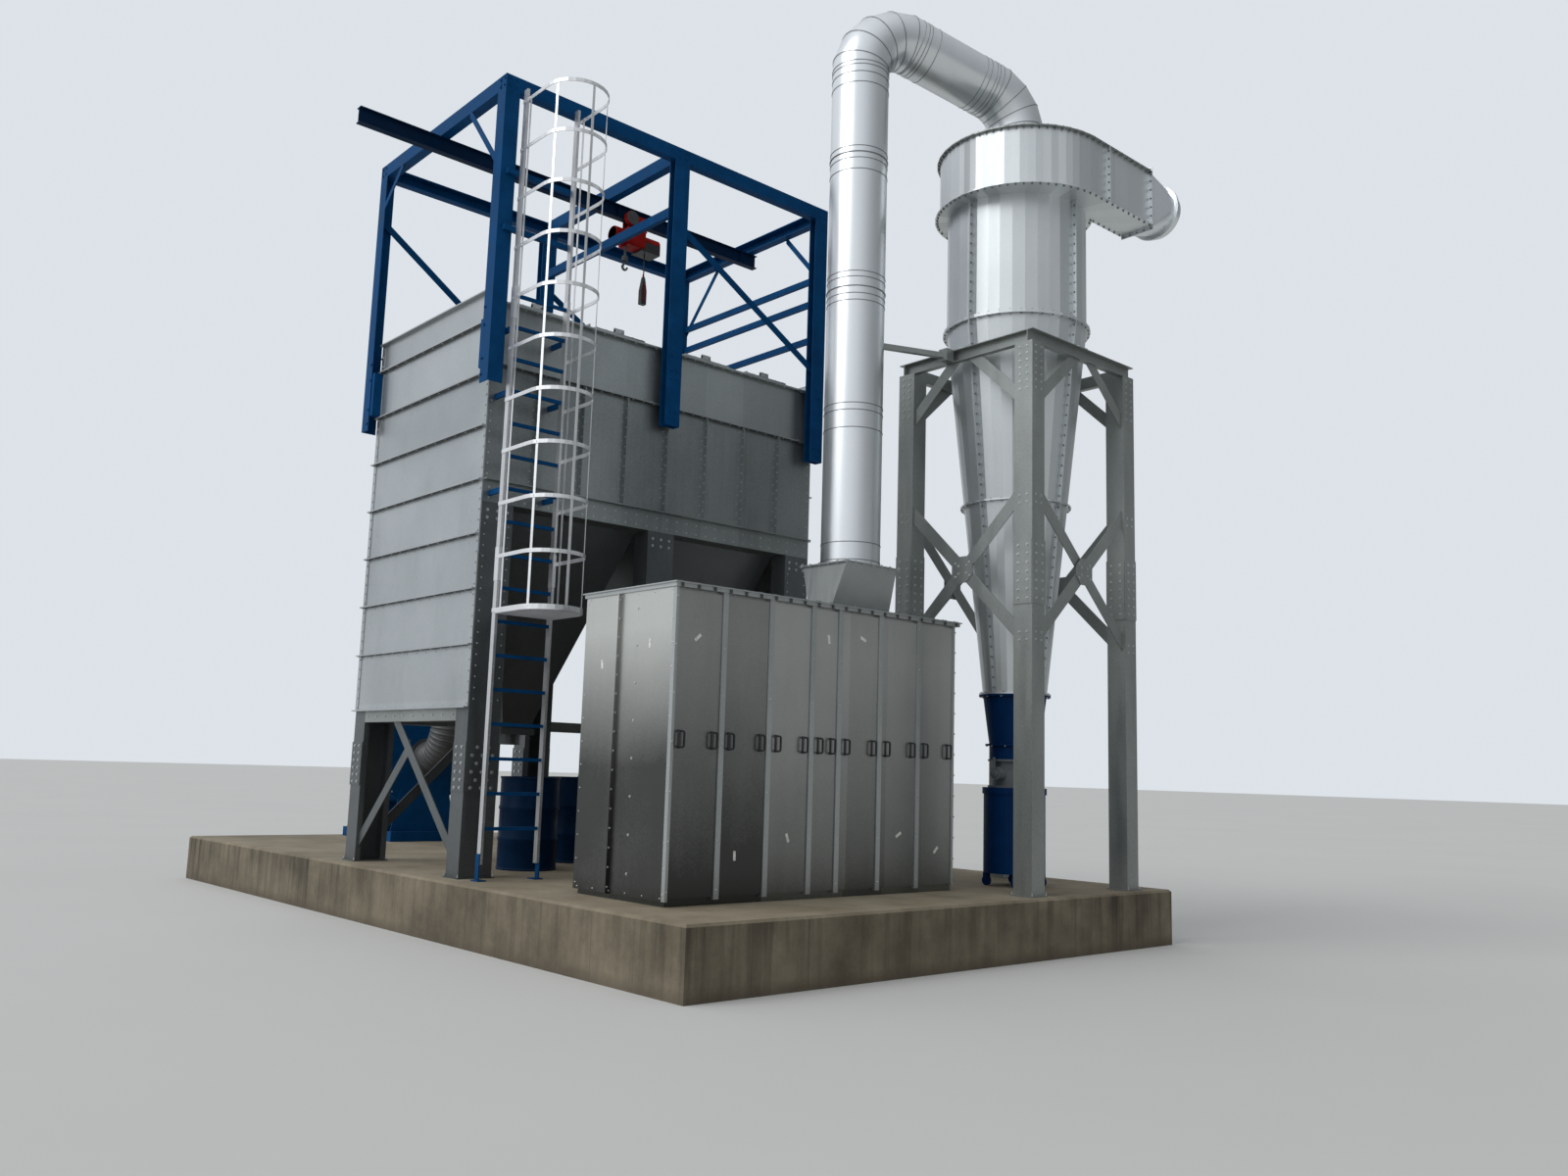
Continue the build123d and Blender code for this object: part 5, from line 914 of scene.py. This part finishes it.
def make_ladder_details():
    """Hole rows in the stiles, rivets of the cage, its lower grating and the joint plates."""
    shape = Shape()
    rim = ((0, 8), (1.2, 8), (1.2, 6), (0.2, 5.5))
    for x in STILES:
        for z in steps(DECK + 200, DECK + 7190, 150):
            for y, way in sides(*STILE_Y):
                shape.turned((x + 12.5, y, z), NORTH * way, rim, 10)
        for z in (DECK + 2600, DECK + 5020):
            shape.box((x - 4, x + 29), inner(*STILE_Y, -4), (z, z + 300))
            shape.bolt((x + 12, STILE_Y[0] - 4, [z + step for step in (40, 110, 190, 260)]), SOUTH, 7, 7)
    levels = [CAGE_LOW + HOOP_STEP * k + 17 for k in range(HOOPS)]
    for z in levels:
        for i in (1, 6, 11):
            turn = pi + pi * (i + 0.5) / 13
            out = Vector((cos(turn), sin(turn), 0))
            shape.rivet(Vector((CAGE_X, CAGE_Y, z)) + out * 294, out, 6, 5)
    for x, way in sides(*about(CAGE_X, CAGE_R + 10)):
        shape.rivet((x, (-1872, -1770), levels), EAST * way, 6, 5)
    piece("ladder_details", shape, bright_bar)

    plate = Shape()
    for y in steps(-2480, -1815, 33.25):
        across = CAGE_R if y > CAGE_Y else sqrt(max(CAGE_R ** 2 - (CAGE_Y - y) ** 2, 0))
        if across > 30:
            plate.box(about(CAGE_X, across), about(y, 3), (CAGE_LOW - 18, CAGE_LOW + 4))
    for x in steps(*about(CAGE_X, 270), 45):
        deep = sqrt(CAGE_R ** 2 - (x - CAGE_X) ** 2)
        plate.box(about(x, 2), (CAGE_Y - deep, -1812), (CAGE_LOW - 16, CAGE_LOW + 3))
    section = ((CAGE_R, -12), (CAGE_R, 0), (CAGE_R + 10, 0), (CAGE_R + 10, -12))
    path = [(STILE_Y[0], pi), *((CAGE_Y, pi + pi * i / 26) for i in range(27)), (STILE_Y[0], 2 * pi)]
    plate.rings([
        [(CAGE_X + r * cos(turn), y + r * sin(turn), CAGE_LOW + drop) for r, drop in section]
        for y, turn in path
    ])
    piece("cage_floor_grating", plate, bright_bar, replaced=["cage_hatch"])


def make_drums():
    """Turned steel drums with rolling hoops, rolled rims and two bungs."""
    for name, (x, y), replaced in DRUMS:
        shape = Shape()
        profile = [(0, DRUM_R + 2), (6, DRUM_R + 6), (14, DRUM_R + 6), (20, DRUM_R)]
        for level in (285, 575):
            hoop = DRUM_R + 7.5
            profile += [(level - 14, DRUM_R), (level, hoop), (level + 18, hoop), (level + 32, DRUM_R)]
        profile += [(858, DRUM_R), (862, 289), (876, 289), (880, 285), (880, 280), (868, 278)]
        shape.turned((x, y, DECK), UP, profile, 72)
        shape.turned((x + 190, y, DECK + 868), UP, ((0, 42), (6, 42), (6, 30), (11, 28)), 20)
        shape.turned((x - 200, y, DECK + 868), UP, ((0, 26), (6, 26), (6, 16), (10, 14)), 16)
        piece("drum_" + name, shape, blue_drum, crease=35, replaced=replaced)


def make_dust_details():
    """Bolts of the dust hopper, valve and bin, and the valve's lever."""
    shape, lever = Shape(), Shape()
    for height, radius, count in ((1774, 325, 12), (1307, 262, 10), (1178, 232, 10), (913, 232, 10)):
        for dx, dy in circle(count, radius):
            shape.bolt((CYCLONE[0] + dx, CYCLONE[1] + dy, DECK + height), DOWN, 8, 10)
    piece("dust_bolts", shape, zinc_bolt)
    x, y = CYCLONE[0] - 290, CYCLONE[1]
    lever.turned((x, y, VALVE_Z), WEST, ((0, 34), (14, 34), (20, 26)), 24)
    lever.box((x - 28, x - 14), about(y, 12), (VALVE_Z - 10, VALVE_Z + 150))
    for dy, dz in circle(6, 46, 0):
        lever.bolt((x, y + dy, VALVE_Z + dz), WEST, 6, 6)
    piece("valve_lever", lever, grey_cast)


def make_hose():
    """Ribbed hose at the fan's inlet, with its flange."""
    corner = Vector((FAN_X, HOSE_CORNER_Y, FAN_Z))
    line = [Vector((FAN_X, FAN_Y, FAN_Z)), *elbow(corner, NORTH, UP, HOSE_BEND, 12)]
    line.append(Vector((FAN_X, HOSE_CORNER_Y, HOSE_TOP)))
    shape = Shape()
    rows = []
    for start, end in zip(line[:-1], line[1:]):
        run = end - start
        lift = run.normalized().cross(EAST)
        count = max(2, round(run.length / HOSE_RIB))
        for i in range(count):
            middle = start + run * ((i + 0.5) / count)
            places = circle(40, HOSE_R - 2 if i % 2 else HOSE_R - 15, 0)
            rows.append([middle + EAST * a + lift * b for a, b in places])
    shape.rings(rows)
    shape.turned(line[0], SOUTH, ((0, HOSE_R + 35), (12, HOSE_R + 35), (12, 150)), 48)
    piece("hose_ribs", shape, rubber, crease=25, replaced=["fan_inlet_hose"])


def make_suction_duct():
    """Sheet duct from the plenum on the back wall down to the hose, with its beads and flanges."""
    foot = Vector((FAN_X, HOSE_CORNER_Y, HOSE_TOP))
    bend = elbow(Vector((FAN_X, HOSE_CORNER_Y, OUTLET_Z)), DOWN, SOUTH, SUCTION_BEND, 5)
    shape = Shape()
    shape.rings(mitre_rows([foot, *bend, Vector((FAN_X, PLENUM_Y, OUTLET_Z))], HOSE_R, 56))
    beads = [(foot + UP * z, UP) for z in (60, 700, 1350, 2000)]
    beads += [((FAN_X, y, OUTLET_Z), NORTH) for y in (1200, 1700, 2400)]
    for centre, axis in beads:
        shape.bead(centre, axis, *SUCTION_BEAD, HOSE_R, 56)
    for centre in (foot, bend[0]):
        shape.turned(centre, UP, ((0, HOSE_R + 30), (FLANGE_T, HOSE_R + 30)), 48)
        for dx, dy in circle(10, 222, 0):
            shape.bolt(centre + Vector((dx, dy, FLANGE_T)), UP, 7, 8)
    heights = about(OUTLET_Z, 300)
    shape.box(PLENUM_X, (HOUSE_Y[1], PLENUM_Y), heights)
    spots = steps(*PLENUM_X, 100, 60), steps(*heights, 90, 30)
    for x, z in border(*spots, inner(*PLENUM_X, 28), inner(*heights, 28)):
        shape.rivet((x, PLENUM_Y, z), NORTH, 7, 6)
    piece("suction_sheet", shape, zinc_duct, crease=30, replaced=["fan_inlet_duct"])


def make_fan_details():
    """Motor fins and cowl, and bolts of the fan's casing."""
    fins = Shape()
    for a, b in circle(28, 1, 0):
        out, across = Vector((a, 0, b)), Vector((-b, 0, a))
        if out.z < -0.75:
            continue
        low = Vector((FAN_X, MOTOR_Y, FAN_Z)) + out * 184
        row = [low - across * 4, low + across * 4, low + across * 2 + out * 20, low - across * 2 + out * 20]
        fins.rings([row, [p + NORTH * 400 for p in row]])
    cowl = ((0, 202), (74, 202), (79, 190), (79, 120))
    fins.turned((FAN_X, MOTOR_Y + 420, FAN_Z), NORTH, cowl, 40)
    piece("motor_fins", fins, grey_cast, crease=30)

    shape = Shape()
    depth = (FAN_Y, FAN_Y + FAN_DEPTH)
    for face, way in sides(*depth):
        for angle in range(-75, 181, 15):
            radius = 490 + 0.62 * (angle + 75)
            turn = radians(angle)
            shape.bolt((FAN_X + radius * cos(turn), face, FAN_Z - radius * sin(turn)), NORTH * way, 9, 9)
    spots = steps(*FAN_MOUTH, 82, -17), steps(*depth, 96)
    for x, y in border(*spots, inner(*FAN_MOUTH, -18), inner(*depth, -18)):
        shape.bolt((x, y, FAN_TOP), UP, 8, 9)
    piece("fan_bolts", shape, zinc_bolt)


def make_lead():
    """The hoist's hanging lead, from the chain hoist down to the hand control."""
    curve = bpy.data.curves.new("pendant_lead", "CURVE")
    curve.dimensions = "3D"
    curve.bevel_depth = CABLE_D / 2 * MM
    curve.bevel_resolution = 4
    curve.use_fill_caps = True
    line = curve.splines.new("NURBS")
    route = ((0, 0, CABLE_TOP), (0, 0, CABLE_TOP - 70), (4, -3, CABLE_FOOT + 120), (0, 0, CABLE_FOOT))
    line.points.add(len(route) - 1)
    for point, (dx, dy, z) in zip(line.points, route):
        point.co = ((CABLE_X + dx) * MM, (HOUSE_MID_Y + dy) * MM, z * MM, 1.0)
    line.order_u = 3
    line.use_endpoint_u = True
    line.resolution_u = 8
    curve.materials.append(black)
    lead = bpy.data.objects.new("pendant_lead", curve)
    scene.collection.objects.link(lead)
    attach(lead, "hoist")
    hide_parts("pendant_cable")
    return lead


def make_hoist():
    """Motor ribs, end cap, wheel hubs, chain links, pendant buttons and the hanging lead."""
    y = HOUSE_MID_Y
    ribs = Shape()
    for i in range(9):
        ribs.turned((HOIST_X - 290 + 15 * i, y, HOIST_Z), EAST, ((0, 92), (6, 92)), 40)
    ribs.turned((HOIST_X - 300, y, HOIST_Z), WEST, ((-8, 84), (0, 80), (0, 40)), 36)
    for dy, dz in circle(4, 62):
        ribs.bolt((HOIST_X + 300, y + dy, HOIST_Z + dz), EAST, 6, 6)
    xs, zs = (HOIST_X - 120, HOIST_X - 20, HOIST_X + 60), (HOIST_Z - 60, HOIST_Z + 70)
    for face, way in sides(*about(y, 110)):
        ribs.bolt((xs, face, zs), NORTH * way, 7, 7)
    piece("hoist_ribs", ribs, red, body="hoist", crease=30)

    hubs = Shape()
    for face, way in sides(*about(y, 57)):
        for x in about(HOIST_X, 70):
            hubs.turned((x, face, DECK + 7124), NORTH * way, ((0, 20), (6, 20), (9, 14)), 20)
            hubs.turned((x, face, DECK + 7025), NORTH * way, ((0, 16), (10, 16), (10, 8)), 6)
    reel = ((0, 78), (3, 78), (3, 50), (6, 48), (6, 18), (14, 16))
    hubs.turned((HOIST_X - 110, y - 117, DECK + 7100), SOUTH, reel, 32)
    piece("trolley_hubs", hubs, dark_steel, body="hoist", crease=30)

    links = Shape()
    for i in range(8):
        z = HOIST_Z - 112 - 22 * i
        wide, deep = (11, 5) if i % 2 else (5, 11)
        links.box(about(CHAIN_X, wide), about(y, deep), (z - 20, z))
    links.turned((CHAIN_X, y, DECK + 6616), UP, ((0, 24), (8, 36), (50, 36), (62, 22)), 24)
    piece("hook_block", links, dark_steel, body="hoist", crease=40)

    lead = make_lead()
    buttons = Shape()
    for i in range(5):
        buttons.turned((CABLE_X, y - 27, DECK + 6405 - 42 * i), SOUTH, ((0, 13), (6, 13), (9, 10)), 16)
    buttons.turned((CABLE_X, y, CABLE_FOOT - 4), UP, ((0, 14), (26, 11), (44, 8.5)), 16)
    piece("pendant_buttons", buttons, red, body="hoist", crease=40)


def make_floor():
    """Plain pale floor under the plinth."""
    mesh = bpy.data.meshes.new("floor")
    half = FLOOR_SIZE / 2
    corners = [(-half, -half, 0), (half, -half, 0), (half, half, 0), (-half, half, 0)]
    mesh.from_pydata(corners, [], [(0, 1, 2, 3)])
    floor_plane = bpy.data.objects.new("floor", mesh)
    mesh.materials.append(ground("floor_finish"))
    scene.collection.objects.link(floor_plane)


make_camera()
make_light()
make_floor()
scene.view_settings.view_transform = "Standard"

# Grain stretches of the zinc finishes: rolled lengthwise, along a bar, along a duct, and none
ROLLED, BAR, LONG, EVEN = (9, 9, 0.5), (9, 9, 1.2), (12, 12, 0.7), (60, 60, 60)

sheet_end = zinc("sheet_ends", (0.54, 0.57, 0.585), (0.28, 0.305, 0.315), 0.88, 0.38,
                 tone=panel_tone, patchy=0.6)
# Painted shade: a darker copy of the end walls' zinc, for the long sides and the ring beam's sides.
shaded_sheet_side = zinc("sheet_sides_painted_shade", (0.43, 0.46, 0.46), (0.18, 0.20, 0.20), 0.88, 0.36,
                  tone=panel_tone, patchy=0.7)
# The box's colours span dark to light so that its tone can carry painted light and shade.
sheet_box = zinc("sheet_doors", (0.62, 0.63, 0.60), (0.07, 0.072, 0.068), 0.90, 0.34, ROLLED,
                 tone=box_tone_and_painted_light, dirt=0.08, relief=0.01, patchy=0.18)
sheet_plain = zinc("sheet_plain", (0.54, 0.56, 0.555), (0.30, 0.32, 0.32), 0.85, 0.40, patchy=0.6)
zinc_frame = zinc("zinc_frame", (0.40, 0.42, 0.41), (0.20, 0.22, 0.21), 0.75, 0.44, BAR,
                  dirt=0.4, patchy=0.8)
# Painted shade: a much darker copy of the frame zinc, for the legs and braces under the housing.
shaded_zinc_leg = zinc("zinc_legs_painted_shade", (0.172, 0.189, 0.193), (0.083, 0.091, 0.095), 0.75, 0.44, BAR, dirt=0.4)
# Painted shade: a dark zinc for the hoppers under the housing.
shaded_zinc_hoppers = zinc("zinc_hoppers_painted_shade", (0.17, 0.18, 0.185), (0.08, 0.088, 0.09), 0.75, 0.40, patchy=0.7)
zinc_bolt = zinc("zinc_bolts", (0.68, 0.70, 0.71), (0.36, 0.38, 0.385), 0.80, 0.36, EVEN)
zinc_seam = zinc("zinc_seams", (0.34, 0.35, 0.36), (0.16, 0.17, 0.175), 0.80, 0.40, EVEN)
zinc_duct = zinc("zinc_ducts", (0.86, 0.89, 0.91), (0.64, 0.67, 0.69), 0.95, 0.30, LONG,
                 dirt=0.05, relief=0.006, patchy=0.25)
# Painted reflection on the cyclone's flats: a random grey to each flat, through its tone.
zinc_facets = zinc("zinc_facets", (0.86, 0.89, 0.90), (0.46, 0.49, 0.50), 0.90, 0.42, LONG,
                   tone=painted_facet_reflection, dirt=0.05, relief=0.006, patchy=0.25)
cement = concrete("cast_concrete")
blue = paint("blue_enamel", (0.003, 0.055, 0.164), (0.006, 0.064, 0.169), 0.45, dust=0.06)
blue_drum = paint("blue_drum_enamel", (0.003, 0.018, 0.052), (0.012, 0.03, 0.06), 0.34)
blue_bin = paint("blue_bin_enamel", (0.002, 0.024, 0.090), (0.005, 0.030, 0.090), 0.42, dust=0.06)
red = paint("red_enamel", (0.30, 0.012, 0.010), (0.17, 0.015, 0.014), 0.38)
bright_bar = drawn("ladder_metal", (0.86, 0.87, 0.88), (0.64, 0.65, 0.66), 0.36)
rail_bar = drawn("rail_metal", (0.74, 0.75, 0.76), (0.50, 0.51, 0.52), 0.38)
grey_cast = paint("grey_casting", (0.135, 0.150, 0.160), (0.10, 0.105, 0.11), 0.50)
dark_steel = moulded("dark_steel", (0.045, 0.047, 0.05), 0.45, 60.0)
black = moulded("black_plastic", (0.012, 0.012, 0.013), 0.42)
rubber = moulded("grey_hose", (0.055, 0.058, 0.06), 0.50, 30.0)
white_card = card("white_card")

# Finishes of the nodes that differ from their slot, then those of the slots
OWN_FINISHES = (
    (sheet_end, ("end_wall_near", "end_wall_far")),
    (shaded_sheet_side, ("side_wall_front", "side_wall_back", "ring_beam_sides")),
    (sheet_box, ("filter_box_body", "door_panels")),
    (sheet_plain, ("outlet_hood",)),
    (shaded_zinc_leg, ("housing_legs", "leg_braces")),
    (shaded_zinc_hoppers, ("hoppers",)),
    (zinc_frame, ("cyclone_roof",)),
    (zinc_facets, ("cyclone_scroll", "cyclone_barrel", "cyclone_cone")),
    (rail_bar, ("ladder_rails",)),
    (blue_drum, ("carbon_drums", "monorail_beam")),
    (blue_bin, ("dust_hopper", "dust_bin")),
)
NODE_FINISHES = {node: finish for finish, nodes in OWN_FINISHES for node in nodes}
SLOT_FINISHES = dict(
    concrete=cement, galvanised_sheet=sheet_plain, galvanised_frame=zinc_frame, duct_sheet=zinc_duct,
    blue_paint=blue, red_paint=red, ladder_metal=bright_bar, grey_casting=grey_cast, black_plastic=black,
)
for row in frame["record"]["subparts"]:
    part = frame["nodes"][row["node"]]
    part.data.materials.clear()
    part.data.materials.append(NODE_FINISHES.get(row["node"], SLOT_FINISHES[row["material_slot"]]))

make_hoist()
make_ducts()
make_housing_fasteners()
make_leg_fasteners()
make_box_details()
make_cyclone_fasteners()
make_tower_fasteners()
make_frame_bolts()
make_ladder_details()
make_drums()
make_dust_details()
make_hose()
make_suction_duct()
make_fan_details()
